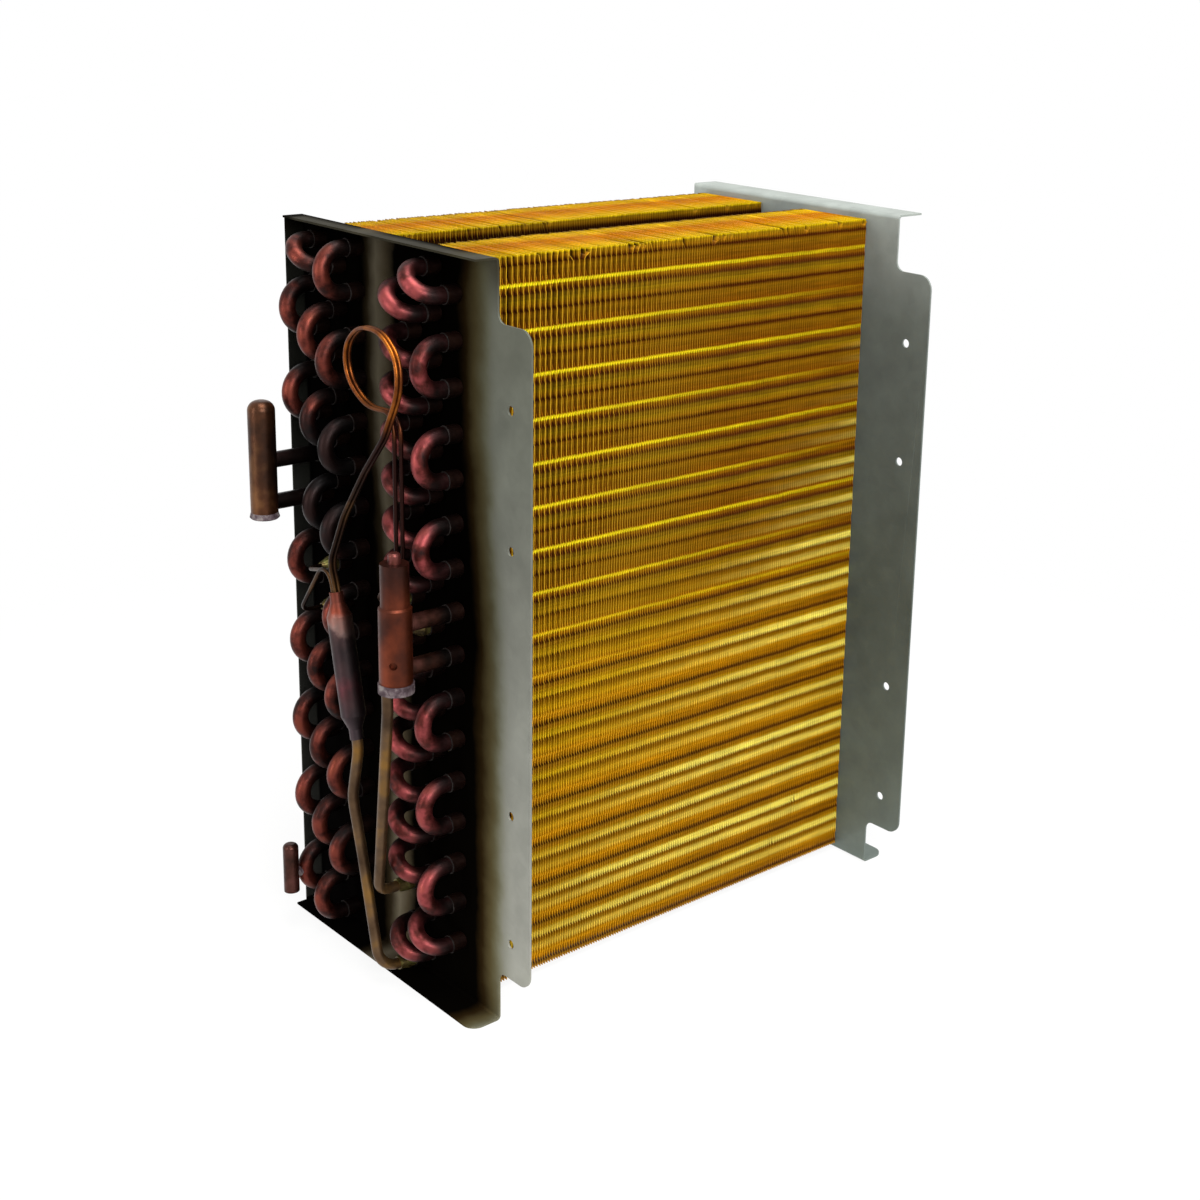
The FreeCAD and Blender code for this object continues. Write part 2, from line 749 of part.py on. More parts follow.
CAPILLARY_FEEDS = {
    "front_feed_low": (FRONT_2, FEED_FRONT_2),
    "front_feed_high": (FRONT_3, FEED_FRONT_3),
    "rear_feed_low": (REAR_2, FEED_REAR[0]),
    "rear_feed_high": (REAR_2, FEED_REAR[1]),
}
reducer("liquid_inlet_reducer", *LIQUID_IN, "Dims.liquid_od")
reducer("liquid_outlet_reducer", *LIQUID_OUT, "Dims.liquid_od")
for feed_label, feed_place in CAPILLARY_FEEDS.items():
    reducer(feed_label, *feed_place, "Dims.capillary_od")


# Strainer

STRAINER_LENGTH = "(Dims.strainer_body + 2 * Dims.strainer_taper + 2 * Dims.strainer_neck)"
NECK_BORE = "(Dims.liquid_od / 2 + Dims.socket_fit)"
NECK_RADIUS = f"({NECK_BORE} + Dims.reducer_nose_wall)"
strainer_angle = math.radians(value("Dims.strainer_tilt"))
strainer_axis = Vector(0, math.sin(strainer_angle), math.cos(strainer_angle))
strainer_centre = left(
    value("Dims.strainer_out"), value("Dims.strainer_depth"), value("Dims.strainer_height")
)
strainer_foot = strainer_centre - strainer_axis * value(f"{STRAINER_LENGTH} / 2")
strainer_head = strainer_centre + strainer_axis * value(f"{STRAINER_LENGTH} / 2")


def strainer():
    """A wide tube spun down at both ends, standing askew: liquid comes in below, capillaries leave above."""
    neck_end = "Dims.strainer_neck"
    body_start = f"{neck_end} + Dims.strainer_taper"
    body_end = f"{body_start} + Dims.strainer_body"
    top_neck = f"{body_end} + Dims.strainer_taper"
    low_floor = "Dims.nose_socket"
    high_floor = f"{STRAINER_LENGTH} - Dims.nose_socket"
    profile = [
        (low_floor, "0"),
        (low_floor, NECK_BORE),
        ("0", NECK_BORE),
        ("0", NECK_RADIUS),
        (neck_end, NECK_RADIUS),
        (body_start, "Dims.strainer_od / 2"),
        (body_end, "Dims.strainer_od / 2"),
        (top_neck, NECK_RADIUS),
        (STRAINER_LENGTH, NECK_RADIUS),
        (STRAINER_LENGTH, NECK_BORE),
        (high_floor, NECK_BORE),
        (high_floor, "0"),
    ]
    body = turned("strainer", profile, Rotation(), ("0", "0", "0"))
    for axis in "xyz":
        body.setExpression(f"Placement.Base.{axis}", None)
    body.Placement = Placement(strainer_foot, Rotation(Vector(1, 0, 0), strainer_axis))
    doc.recompute()
    return keep(body, "strainer")


strainer()


# Pipes along routes of straight runs and tangent arcs


def rounded_route(points, largest):
    """One wire through the points, each corner rounded as far as its runs and the bending tool allow.

    Both ends stay straight over the depth of a socket.
    """
    held = value("Dims.nose_socket")
    edges = []
    start = points[0]
    for index in range(1, len(points) - 1):
        before, corner, after = points[index - 1], points[index], points[index + 1]
        back = before - corner
        ahead = after - corner
        turn = math.pi - back.getAngle(ahead)
        room_back = back.Length - held if index == 1 else back.Length / 2
        room_ahead = ahead.Length - held if index == len(points) - 2 else ahead.Length / 2
        reach = min(room_back, room_ahead)
        tangent = min(largest * math.tan(turn / 2), reach)
        radius = tangent / math.tan(turn / 2)
        arc_start = corner + Vector(back).normalize() * tangent
        arc_end = corner + Vector(ahead).normalize() * tangent
        inward = (Vector(back).normalize() + Vector(ahead).normalize()).normalize()
        middle = corner + inward * (radius / math.cos(turn / 2) - radius)
        if (arc_start - start).Length > 1e-6:
            edges.append(Part.LineSegment(start, arc_start).toShape())
        edges.append(Part.Arc(arc_start, middle, arc_end).toShape())
        start = arc_end
    if (points[-1] - start).Length > 1e-6:
        edges.append(Part.LineSegment(start, points[-1]).toShape())
    return Part.Wire(edges)


def pipe(label, points, outer_diameter, largest):
    route = rounded_route(points, value(largest))
    radius = value(outer_diameter) / 2
    direction = points[1] - points[0]
    section = Part.Face(Part.Wire(Part.Circle(points[0], direction, radius).toShape()))
    solid = route.makePipe(section)
    expected = math.pi * radius**2 * route.Length
    print(f"{label}: {route.Length:.1f} long, volume {solid.Volume / expected:.4f} of section by length")
    return keep(feature(label, solid), label)


def nose_end(row, level):
    """Where a thin pipe stops inside the nose of a reducer."""
    return tube_centre(row, level, f"{SOCKET_FLOOR} + Dims.reducer_length - Dims.nose_socket")


def elbow_corner(row, level, out):
    return tube_centre(row, level, out)


def liquid_inlet_pipe():
    """From the collar under the front header down to the third front row."""
    collar_foot = "Dims.front_header_base - Dims.header_collar_height"
    start = left(
        value("Dims.front_header_out + Dims.inlet_shift"),
        value(f"{row_depth(FRONT_1)} + Dims.inlet_shift_back"),
        value(collar_foot),
    )
    below = start - Vector(0, 0, value("2 * Dims.liquid_od"))
    points = [start, below, elbow_corner(*LIQUID_IN, "Dims.inlet_elbow_out"), nose_end(*LIQUID_IN)]
    return pipe("liquid_inlet_pipe", points, "Dims.liquid_od", "Dims.liquid_bend_radius")


# How far down from the strainer's foot to the outlet the two slack bends of the liquid line are.
LINE_SWAY_SHARE = 0.267
LINE_STEP_SHARE = 0.524


def liquid_line():
    """From the lowest third-row tube up to the strainer's foot, with two slack bends on the way."""
    elbow = elbow_corner(*LIQUID_OUT, "Dims.outlet_elbow_out")
    fall = Vector(0, 0, elbow.z - strainer_foot.z)
    sway = Vector(0, value("Dims.line_sway"), 0)
    step = Vector(value("Dims.line_step"), value("Dims.line_sway_low"), 0)
    points = [
        strainer_foot + strainer_axis * value("Dims.nose_socket"),
        strainer_foot - strainer_axis * value("Dims.strainer_neck"),
        strainer_foot + fall * LINE_SWAY_SHARE + sway,
        strainer_foot + fall * LINE_STEP_SHARE + step,
        elbow,
        nose_end(*LIQUID_OUT),
    ]
    return pipe("liquid_line", points, "Dims.liquid_od", "Dims.liquid_bend_radius * 3")


def capillary_start(side, layer):
    """One of four places in the strainer's head: side is front or rear, layer near or far from the sheet."""
    across = Vector(0, math.cos(strainer_angle), -math.sin(strainer_angle))
    offset = value("(Dims.capillary_od + Dims.capillary_gap) / 2")
    floor = strainer_head - strainer_axis * value("Dims.nose_socket")
    return floor + across * (side * offset) - Vector(layer * offset, 0, 0)


# The rise from the strainer's head to the start of the loop, as shares of the way back to front and up.
RISE_SHARES = ((-0.027, 0.137), (0.194, 0.378), (0.508, 0.612), (0.793, 0.791))
LOOP_CORNERS = 8


def loop_corner(out, number):
    """A corner of the eight-sided guide round the loop, whose sides the bent tube touches."""
    spread = 1 / math.cos(math.pi / LOOP_CORNERS)
    angle = math.radians(value("Dims.loop_start") - number * 360.0 / LOOP_CORNERS)
    depth = value("Dims.loop_depth") + value("Dims.loop_half_width") * spread * math.cos(angle)
    height = value("Dims.loop_height") + value("Dims.loop_half_height") * spread * math.sin(angle)
    drift = value("Dims.loop_advance") * number / (LOOP_CORNERS - 1)
    return left(out - drift, depth, height)


def looped_capillary(label, layer, feed, drop):
    """Up from the strainer, once round the loop and down between two columns of bends to its feed."""
    start = capillary_start(-1, layer)
    strand = layer * value("(Dims.capillary_od + Dims.capillary_gap) / 2")
    out = value("Dims.loop_out") + strand
    corners = [loop_corner(out, number) for number in range(LOOP_CORNERS)]
    way = corners[0] - strainer_head
    points = [start, start + strainer_axis * value("2 * Dims.nose_socket")]
    for back_to_front, up in RISE_SHARES:
        point = strainer_head + Vector(0, way.y * back_to_front, way.z * up)
        point.x = corners[0].x
        points.append(point)
    points += corners
    elbow = elbow_corner(*CAPILLARY_FEEDS[feed], "Dims.capillary_elbow_out")
    column_x = value(LEFT_FACE) - out + value("Dims.loop_advance")
    column_y = value(f"({row_depth(FRONT_1)} + {row_depth(FRONT_2)}) / 2 + Dims.column_shift") + strand
    column_top = value(f"{FIN_BASE} + Dims.loop_height - Dims.loop_half_height - Dims.loop_tail") - strand
    points += [Vector(column_x, column_y, column_top), Vector(column_x, column_y, elbow.z + value(drop))]
    points += [elbow, nose_end(*CAPILLARY_FEEDS[feed])]
    return pipe(label, points, "Dims.capillary_od", "Dims.capillary_bend_radius * 3")


def short_capillary(label, layer, feed, hump, out):
    """Over from the strainer to the second rear row."""
    start = capillary_start(1, layer)
    points = [start, start + strainer_axis * value(hump)]
    points += [elbow_corner(*CAPILLARY_FEEDS[feed], out), nose_end(*CAPILLARY_FEEDS[feed])]
    return pipe(label, points, "Dims.capillary_od", "Dims.capillary_bend_radius")


liquid_inlet_pipe()
liquid_line()
looped_capillary("capillary_front_high", 1, "front_feed_high", "Dims.front_drop_high")
looped_capillary("capillary_front_low", -1, "front_feed_low", "Dims.front_drop_low")
short_capillary(
    "capillary_rear_high", -1, "rear_feed_high", "Dims.rear_hump_high", "Dims.rear_elbow_out_high"
)
short_capillary(
    "capillary_rear_low", 1, "rear_feed_low", "Dims.rear_hump_low", "Dims.rear_elbow_out_low"
)


# Process stub


def process_stub():
    """A closed service tube brazed beside the crown of the lowest rear bend."""
    crown = f"({BEND_CROWN} + Dims.tube_pitch / 2)"
    out = f"({crown} + Dims.tube_od / 2 + Dims.process_gap + Dims.process_od / 2)"
    axis = (out_to_x(out), row_depth(REAR_1))
    radius = "Dims.process_od / 2"
    height = "Dims.process_height"
    profile = [("0", "0"), ("0", radius), (height, radius), (height, "0")]
    tube = turned("process_stub", profile, UPWARD, (*axis, f"{FIN_BASE} + Dims.process_base"))
    round_rim(tube, "Dims.process_dome", height, radius)
    keep(tube, "process_stub")
    middle = f"{level_height(REAR_1, 0)} + Dims.tube_pitch / 2"
    base = (out_to_x(out), row_depth(REAR_1), middle)
    bar = cylinder("process_saddle_bar", "Dims.saddle_od / 2", f"{out} - {crown}", base, "X")
    off_stub = cut("process_saddle_outer", bar, tube)
    saddle = cut("process_saddle", off_stub, doc.getObject("bends_rear_row_1"))
    keep(saddle, "process_saddle")


process_stub()


# Check and write


def check_and_write():
    doc.recompute()
    for item in doc.Objects:
        if "Invalid" in item.State or "Error" in item.State:
            raise RuntimeError(f"{item.Name} did not build: {item.State}")
    for piece in nodes:
        if piece.Shape.isNull() or not piece.Shape.isValid():
            raise RuntimeError(f"{piece.Label} has no valid shape")
        piece.Shape.exportStep(f"parts/{piece.Label}.step")
        bounds = piece.Shape.BoundBox
        print(
            f"{piece.Label}: {len(piece.Shape.Solids)} solids, {piece.Shape.Volume / 1000:.2f} cubic cm,",
            f"x {bounds.XMin:.1f} {bounds.XMax:.1f} y {bounds.YMin:.1f} {bounds.YMax:.1f}",
            f"z {bounds.ZMin:.1f} {bounds.ZMax:.1f}",
        )
    print(len(nodes), "nodes")


check_and_write()
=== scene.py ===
# %% [markdown]
# # Evaporator coil
#
# Two slabs of thin gold-coated fins stand between two folded steel sheets. Copper tubes run
# through them, and on the left end their return bends, headers and feed pipes face the camera.
# The solid model gives every place and size. This lesson dresses it: it presses ribs into real
# thin fins, adds the brazing at each joint and gives each metal its finish.

# %% Load the solid model
import json
import math
import random

import bmesh
import bpy
from mathutils import Matrix, Vector


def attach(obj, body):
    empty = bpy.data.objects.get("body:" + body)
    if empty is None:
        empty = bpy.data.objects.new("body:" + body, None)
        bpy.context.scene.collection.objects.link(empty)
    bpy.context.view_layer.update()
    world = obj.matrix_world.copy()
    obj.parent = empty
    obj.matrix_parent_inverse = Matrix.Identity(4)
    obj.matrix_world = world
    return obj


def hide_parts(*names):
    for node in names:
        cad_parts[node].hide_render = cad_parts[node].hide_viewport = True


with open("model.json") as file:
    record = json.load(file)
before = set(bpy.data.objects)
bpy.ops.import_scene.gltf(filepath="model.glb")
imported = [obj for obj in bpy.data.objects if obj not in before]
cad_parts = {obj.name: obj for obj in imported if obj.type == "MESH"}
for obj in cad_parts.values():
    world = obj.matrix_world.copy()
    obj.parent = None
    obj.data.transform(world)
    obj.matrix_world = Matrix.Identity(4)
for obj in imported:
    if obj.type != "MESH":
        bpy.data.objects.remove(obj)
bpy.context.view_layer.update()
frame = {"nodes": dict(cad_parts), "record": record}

nodes = frame["nodes"]

# %% [markdown]
# ## Sizes
#
# The coil follows the usual grid of such exchangers: tubes 25.4 mm apart in height and 19.05 mm
# in depth, with every second row half a pitch higher. Naming the grid once lets the fins, the
# ribs in them and the brazed rings all fall on the same places as the solids do.

# %% Name the grid of tubes
MM = 0.001
PITCH = 25.4 * MM
ROW = 19.05 * MM
LEVELS = 17
SLAB_ROWS = 3
TUBE = 9.52 * MM
FIN_START = 10.25 * MM
FIN_LENGTH = 304.8 * MM
FIN_BASE = 4.2 * MM
FIN_TOP = FIN_BASE + LEVELS * PITCH
SLAB_DEPTH = SLAB_ROWS * ROW
REAR_SLAB = SLAB_DEPTH + 38.1 * MM
LEFT_FACE = 9.05 * MM


def tube_places():
    """The depth and height of every tube. The first row of each slab misses its lowest one."""
    places = []
    for row in range(2 * SLAB_ROWS):
        slab, row_in_slab = divmod(row, SLAB_ROWS)
        depth = slab * REAR_SLAB + (row_in_slab + 0.5) * ROW
        raised = 0.25 if row % 2 == 0 else 0.75
        for level in range(1 if row_in_slab == 0 else 0, LEVELS):
            places.append((depth, FIN_BASE + (level + raised) * PITCH))
    return places


print(len(tube_places()), "tubes, fins from", FIN_BASE, "to", FIN_TOP)

# %% [markdown]
# ## Camera
#
# A photograph can be matched by turning a camera by eye, but the corners of the sheets and fins
# give its place exactly: it stands to the left of the coil, a little above it, and looks down by
# some fifteen degrees. The lens shift only centres the picture as the photograph is cropped.

# %% Set up the camera
CAMERA_PLACE = Vector((-0.55167, -0.79527, 0.59198))
YAW, DOWN, ROLL = 0.742470, 0.269201, 0.028033
SENSOR_MM, LENS_MM = 36.0, 55.80
# The shift is a share of the sensor's width, to the right and upward.
SHIFT = (-0.0833, -0.1083)


def aim_camera():
    flat = math.cos(DOWN)
    ahead = Vector((math.sin(YAW) * flat, math.cos(YAW) * flat, -math.sin(DOWN)))
    level = Vector((math.cos(YAW), -math.sin(YAW), 0))
    upright = level.cross(ahead)
    side = math.cos(ROLL) * level + math.sin(ROLL) * upright
    up = math.cos(ROLL) * upright - math.sin(ROLL) * level
    lens = bpy.data.cameras.new("camera")
    lens.sensor_width = SENSOR_MM
    lens.lens = LENS_MM
    lens.shift_x, lens.shift_y = SHIFT
    camera = bpy.data.objects.new("camera", lens)
    turned = Matrix((side, up, -ahead)).transposed().to_4x4()
    camera.matrix_world = Matrix.Translation(CAMERA_PLACE) @ turned
    bpy.context.scene.collection.objects.link(camera)
    bpy.context.scene.camera = camera
    return camera


print("camera at", aim_camera().location)

# %% [markdown]
# ## Making a finish
#
# A finish is a small tree of shader nodes. One helper adds a node, sets what it is told and links
# its inputs, so each recipe below reads as a list. Colours are written as they look on a screen,
# in hex, and one function turns them into the linear values that the renderer adds up.

# %% Define the colour and node helpers


def linear(code):
    """A screen colour such as #A07030 as linear red, green, blue and alpha."""
    parts = [int(code[place:place + 2], 16) / 255 for place in (1, 3, 5)]
    bent = [part / 12.92 if part <= 0.04045 else ((part + 0.055) / 1.055) ** 2.4 for part in parts]
    return (*bent, 1.0)


def plug(tree, node, inputs):
    """Fills a node's sockets: nodes and sockets are linked, hex colours and values written in."""
    for name, source in inputs.items():
        if isinstance(source, bpy.types.Node):
            source = source.outputs[0]
        if isinstance(source, bpy.types.NodeSocket):
            tree.links.new(source, node.inputs[name])
        else:
            code = isinstance(source, str)
            node.inputs[name].default_value = linear(source) if code else source


def add(tree, kind, inputs=None, stops=None, **settings):
    """Adds a shader node with its settings, the stops of its colour ramp and its inputs."""
    node = tree.nodes.new("ShaderNode" + kind)
    for name, setting in settings.items():
        setattr(node, name, setting)
    if stops:
        while len(node.color_ramp.elements) < len(stops):
            node.color_ramp.elements.new(1.0)
        for element, (place, code) in zip(node.color_ramp.elements, stops):
            element.position = place
            element.color = linear(code)
    plug(tree, node, inputs or {})
    return node


print("mid grey #808080 is", round(linear("#808080")[0], 3), "in linear light")

# %% [markdown]
# ## Starting and reopening a finish
#
# Every finish begins with a shader and the place of each point in metres. Some are then mixed
# further, as a torch burns what was drawn bright before, so a second helper hands back what a
# finish has come to so far. The rest is what all metals share: a border that wanders, a tone that
# varies in patches, and small bumps. Patch sizes are real ones, in millimetres.

# %% Define what every finish begins with
# Three octaves, each a little over half as strong as the one before it.
CLOUDY = {"Detail": 3.0, "Roughness": 0.55}
# Such noise seldom goes past these values, so mapping from them gives its full contrast.
SPREAD = (0.3, 0.7)
# A range with no hard end on either side.
SMOOTH = {"interpolation_type": "SMOOTHSTEP"}


def empty_tree(owner):
    """The node tree of a material or the world, emptied."""
    owner.use_nodes = True
    owner.node_tree.nodes.clear()
    return owner.node_tree


def start_finish(name, metallic, roughness):
    """A new finish: its material, tree, shader and the place of each point."""
    material = bpy.data.materials.new(name)
    tree = empty_tree(material)
    shader = add(tree, "BsdfPrincipled", {"Metallic": metallic, "Roughness": roughness})
    add(tree, "OutputMaterial", {"Surface": shader})
    return material, tree, shader, add(tree, "TexCoord").outputs["Object"]


def reopen_finish(material):
    """The tree, shader, colour so far and place of each point of a finish to be mixed further."""
    tree = material.node_tree
    shader = next(node for node in tree.nodes if node.type == "BSDF_PRINCIPLED")
    place = next(node for node in tree.nodes if node.type == "TEX_COORD").outputs["Object"]
    return tree, shader, shader.inputs["Base Color"].links[0].from_socket, place


def sway(tree, place, size_mm, reach):
    """Noise from minus to plus reach, so that a border between two tones isn't straight."""
    noise = add(tree, "TexNoise", {"Vector": place, "Scale": 1 / (size_mm * MM), **CLOUDY})
    return add(tree, "Math", {0: noise, 1: 2 * reach, 2: -reach}, operation="MULTIPLY_ADD")


def mottle(tree, place, size_mm, least, most, spread=(0.0, 1.0)):
    """Noise from least to most, in patches about size_mm across."""
    noise = add(tree, "TexNoise", {"Vector": place, "Scale": 1 / (size_mm * MM), **CLOUDY})
    return add(
        tree, "MapRange",
        {"Value": noise, "From Min": spread[0], "From Max": spread[1],
         "To Min": least, "To Max": most},
    )


def roughen(tree, place, shader, size_mm, strength, depth_mm):
    """Small bumps, as casting, drawing or flux leaves them."""
    noise = add(tree, "TexNoise", {"Vector": place, "Scale": 1 / (size_mm * MM), **CLOUDY})
    bumps = add(tree, "Bump", {"Height": noise, "Strength": strength, "Distance": depth_mm * MM})
    plug(tree, shader, {"Normal": bumps})


def make_piece(name, shape):
    """Turns a bmesh into an object that sits at the origin, its place in its mesh."""
    mesh = bpy.data.meshes.new(name)
    shape.to_mesh(mesh)
    shape.free()
    piece = bpy.data.objects.new(name, mesh)
    bpy.context.scene.collection.objects.link(piece)
    return piece


print("patches of 34 mm are a noise scale of", round(1 / (34 * MM), 1))

# %% [markdown]
# ## Floor and backdrop
#
# The photograph is cut out on plain white. A white floor lit by lamps would come out grey in its
# far part, so the floor and the world turn white for the camera and for reflections. The floor
# keeps a faint part of its own shading near the coil, and so the coil stands in a soft shadow.

# %% Lay the floor and set the world
COIL_MIDDLE = (0.16, 0.07, 0.2)
FLOOR_RADIUS = 7.0
# The floor lies 0.2 mm under the feet, so that no two faces share a plane.
FLOOR_MIDDLE = (0.15, 0.05, -0.2 * MM)
# The floor glows by 86% under the coil, where its shadow shows, and by all 0.75 m away.
SHADOW_FADES = {"From Min": 0.15, "From Max": 0.75, "To Min": 0.86, "To Max": 1.0}
WORLD_FILL = 0.42


def seen_white(tree):
    """One where a ray comes from the camera, a reflection or through glass, else nought."""
    path = add(tree, "LightPath")
    seen = add(
        tree, "Math", {0: path.outputs["Is Camera Ray"], 1: path.outputs["Is Glossy Ray"]},
        operation="MAXIMUM",
    )
    through = path.outputs["Is Transmission Ray"]
    return add(tree, "Math", {0: seen, 1: through}, operation="MAXIMUM")


def lay_floor():
    shape = bmesh.new()
    bmesh.ops.create_circle(shape, cap_ends=True, segments=64, radius=FLOOR_RADIUS)
    bmesh.ops.translate(shape, verts=shape.verts, vec=FLOOR_MIDDLE)
    floor = make_piece("floor", shape)
    material = bpy.data.materials.new("white_paper")
    tree = empty_tree(material)
    paper = add(tree, "BsdfDiffuse", {"Color": "#F4F4F2"})
    glow = add(tree, "Emission", {"Color": "#FFFFFF"})
    place = add(tree, "TexCoord").outputs["Object"]
    away = add(tree, "VectorMath", {0: place, 1: (*COIL_MIDDLE[:2], 0)}, operation="DISTANCE")
    clear = add(tree, "MapRange", {"Value": away.outputs["Value"], **SHADOW_FADES})
    share = add(tree, "Math", {0: seen_white(tree), 1: clear}, operation="MULTIPLY")
    mixed = add(tree, "MixShader", {0: share, 1: paper, 2: glow})
    add(tree, "OutputMaterial", {"Surface": mixed})
    floor.data.materials.append(material)


def light_world():
    """White where it is seen, and dimmer where it only fills the shadows."""
    world = bpy.data.worlds.new("studio")
    bpy.context.scene.world = world
    tree = empty_tree(world)
    strength = add(
        tree, "MapRange", {"Value": seen_white(tree), "To Min": WORLD_FILL, "To Max": 1.0}
    )
    glow = add(tree, "Background", {"Color": "#FFFFFF", "Strength": strength})
    add(tree, "OutputWorld", {"Surface": glow})


bpy.context.scene.view_settings.view_transform = "Standard"
lay_floor()
light_world()
print("floor radius", FLOOR_RADIUS, "m, world fill", WORLD_FILL)

# %% [markdown]
# ## Lamps
#
# In the photograph the fins are bright and the end with the bends is dark. So the key lamp stands
# behind the camera on its right: it falls squarely on the fins and only grazes the left sheet. A
# broad lamp overhead lights the fins' upper edges, and a narrow upright one on the left draws the
# pale edge along each bend.

# %% Hang the lamps
# Name, place in metres, width and height in metres, and watts.
LAMPS = (
    ("key_lamp", (-0.5, -1.55, 1.05), 0.9, 0.9, 34),
    ("top_lamp", (0.1, -0.3, 1.9), 1.2, 1.2, 40),
    ("edge_lamp", (-1.5, 0.3, 0.5), 0.25, 1.3, 10),
)

for name, place, width, height, watts in LAMPS:
    lamp = bpy.data.lights.new(name, "AREA")
    lamp.shape = "RECTANGLE"
    lamp.size, lamp.size_y = width, height
    lamp.energy = watts
    holder = bpy.data.objects.new(name, lamp)
    holder.location = place
    aim = Vector(COIL_MIDDLE) - Vector(place)
    holder.rotation_euler = aim.to_track_quat("-Z", "Y").to_euler()
    bpy.context.scene.collection.objects.link(holder)
    print(name, "at", place, "with", watts, "watts")

# %% [markdown]
# ## Fins
#
# A fin is aluminium foil, pressed with shallow ribs that stiffen it, and the ribs catch the light
# as the bright and dark lines across the face. A rib could be a bump in the material, but the
# foil's edge shows it in profile, so it is folded into the mesh: one fin starts as a zigzag line,
# is drawn out to the slab's depth and gets its thickness. The real foil is some 0.14 mm thick. It
# is drawn at 0.3 mm, because a thinner edge would be lost between the pixels.

# %% Press one fin
FOIL = 0.3 * MM
# The ribs of one tube pitch: the share of the pitch below its top, and the bulge toward the
# bends in millimetres.
RIB_WAVE = (
    (0.00, 0.04), (0.12, 0.18), (0.21, 0.10), (0.245, -0.16), (0.46, 0.06),
    (0.625, -0.08), (0.685, 0.40), (0.81, 0.30), (0.865, -0.08),
)


def press_fin(start):
    """One ribbed fin, its front edge at the given depth and its middle plane at X = 0."""
    shape = bmesh.new()
    line = []
    for pitch in range(LEVELS):
        for share, bulge in RIB_WAVE:
            height = FIN_TOP - (pitch + share) * PITCH
            line.append(shape.verts.new((-bulge * MM, start, height)))
    line.append(shape.verts.new((0, start, FIN_BASE)))
    edges = [shape.edges.new(pair) for pair in zip(line, line[1:])]
    drawn = bmesh.ops.extrude_edge_only(shape, edges=edges)["geom"]
    moved = [item for item in drawn if isinstance(item, bmesh.types.BMVert)]
    bmesh.ops.translate(shape, verts=moved, vec=(0, SLAB_DEPTH, 0))
    bmesh.ops.recalc_face_normals(shape, faces=shape.faces)
    bmesh.ops.solidify(shape, geom=shape.faces, thickness=FOIL)
    bmesh.ops.recalc_face_normals(shape, faces=shape.faces)
    mesh = bpy.data.meshes.new("pressed_fin")
    shape.to_mesh(mesh)
    shape.free()
    return mesh


fins = {"front": press_fin(0.0), "rear": press_fin(REAR_SLAB)}
print("one fin has", len(fins["front"].vertices), "points")

# %% [markdown]
# ## What handling does to a fin
#
# No two fins stand alike. Handling makes their edges lean to one side and their top corners curl,
# and now and then a front corner is bent right over. An array of equal copies would show none of
# it, so each fin draws its own bends from seeded random numbers, which come out the same on every
# run. The lean is strongest beside the bends, where the coil is held.

# %% Draw one fin's bends
# The spread of each draw, in millimetres.
SHIFTED, RECESSED, CURLED, DROPPED, CORNER_BENT = 0.05, 0.06, 0.35, 0.22, 1.3
# The lean of an edge beside the bends, in millimetres, and how much is lost at the far end.
LEAN, LEAN_LOST = 0.09, 0.08
# The share of fins with a bent front corner.
CORNER_CHANCE = 0.18
# How far a fin stands back is scaled by a number between these two.
STANDS = (0.6, 1.2)


def draw_bends(chance, along_slab):
    """One fin's bends. Lengths are in metres, and the draws keep this order."""
    askew = (LEAN - LEAN_LOST * along_slab) * MM
    return {
        "shift": chance.gauss(0, SHIFTED) * MM,
        "lean_front": chance.gauss(0, 1) * askew,
        "lean_rear": chance.gauss(0, 1) * askew,
        "recess": abs(chance.gauss(0, RECESSED)) * MM,
        "curl": chance.gauss(0, CURLED) * MM,
        "drop": abs(chance.gauss(0, DROPPED)) * MM,
        "corner": chance.gauss(0, CORNER_BENT) * MM if chance.random() < CORNER_CHANCE else 0.0,
        "stands": chance.uniform(*STANDS),
    }


print("a fin's bends, for one:", draw_bends(random.Random(1), 0.0))

# %% [markdown]
# ## Fins that stand back, and dents
#
# Near the bends every second fin stands back from the face, most at the top, which gives the slab
# its coarser rhythm of light and shade there. At the bright line it comes forward again, because
# that rib is pressed the hardest and holds the edge straight. Low on the right a few knocks have
# dented the face, each over a few fins.

# %% Set fins back and dent them
# How far every second fin stands back beside the bends, in millimetres: at the bottom, how much
# more at the top, and how much less at the far end.
SET_BACK, SET_BACK_HIGHER, SET_BACK_LOST = 0.5, 2.2, 5.0
# The bright line, as shares of the pitch, and how much of the set-back is left there.
BRIGHT_LINE = (0.6, 0.75)
LEFT_AT_LINE = 0.3
# Dents in the front slab: distance along the tubes, height, reach along and reach in height, all
# in metres, and the push in millimetres.
DENTS = (
    (0.2727, 0.0475, 0.0030, 0.0110, 1.6),
    (0.2870, 0.0560, 0.0022, 0.0080, -1.3),
    (0.2950, 0.0792, 0.0022, 0.0080, 1.3),
    (0.2537, 0.0240, 0.0022, 0.0070, 1.2),
)


def set_back(height, along_slab):
    """How far every second fin stands back from the face, in metres."""
    deep = SET_BACK + SET_BACK_HIGHER * height / FIN_TOP - SET_BACK_LOST * along_slab
    rib = (FIN_TOP - height) / PITCH % 1.0
    left = LEFT_AT_LINE if BRIGHT_LINE[0] < rib < BRIGHT_LINE[1] else 1.0
    return max(0.0, deep) * left * MM


def dent(x, height, dents):
    """Where a point of a front edge goes along the tubes once each dent has pushed it."""
    for along, middle, reach, tall, push in dents:
        near = max(0.0, 1 - abs(x - along) / reach)
        x += push * MM * near * max(0.0, 1 - abs(height - middle) / tall)
    return x


print("set back at the top of the first fin:", round(set_back(FIN_TOP, 0.0) / MM, 2), "mm")

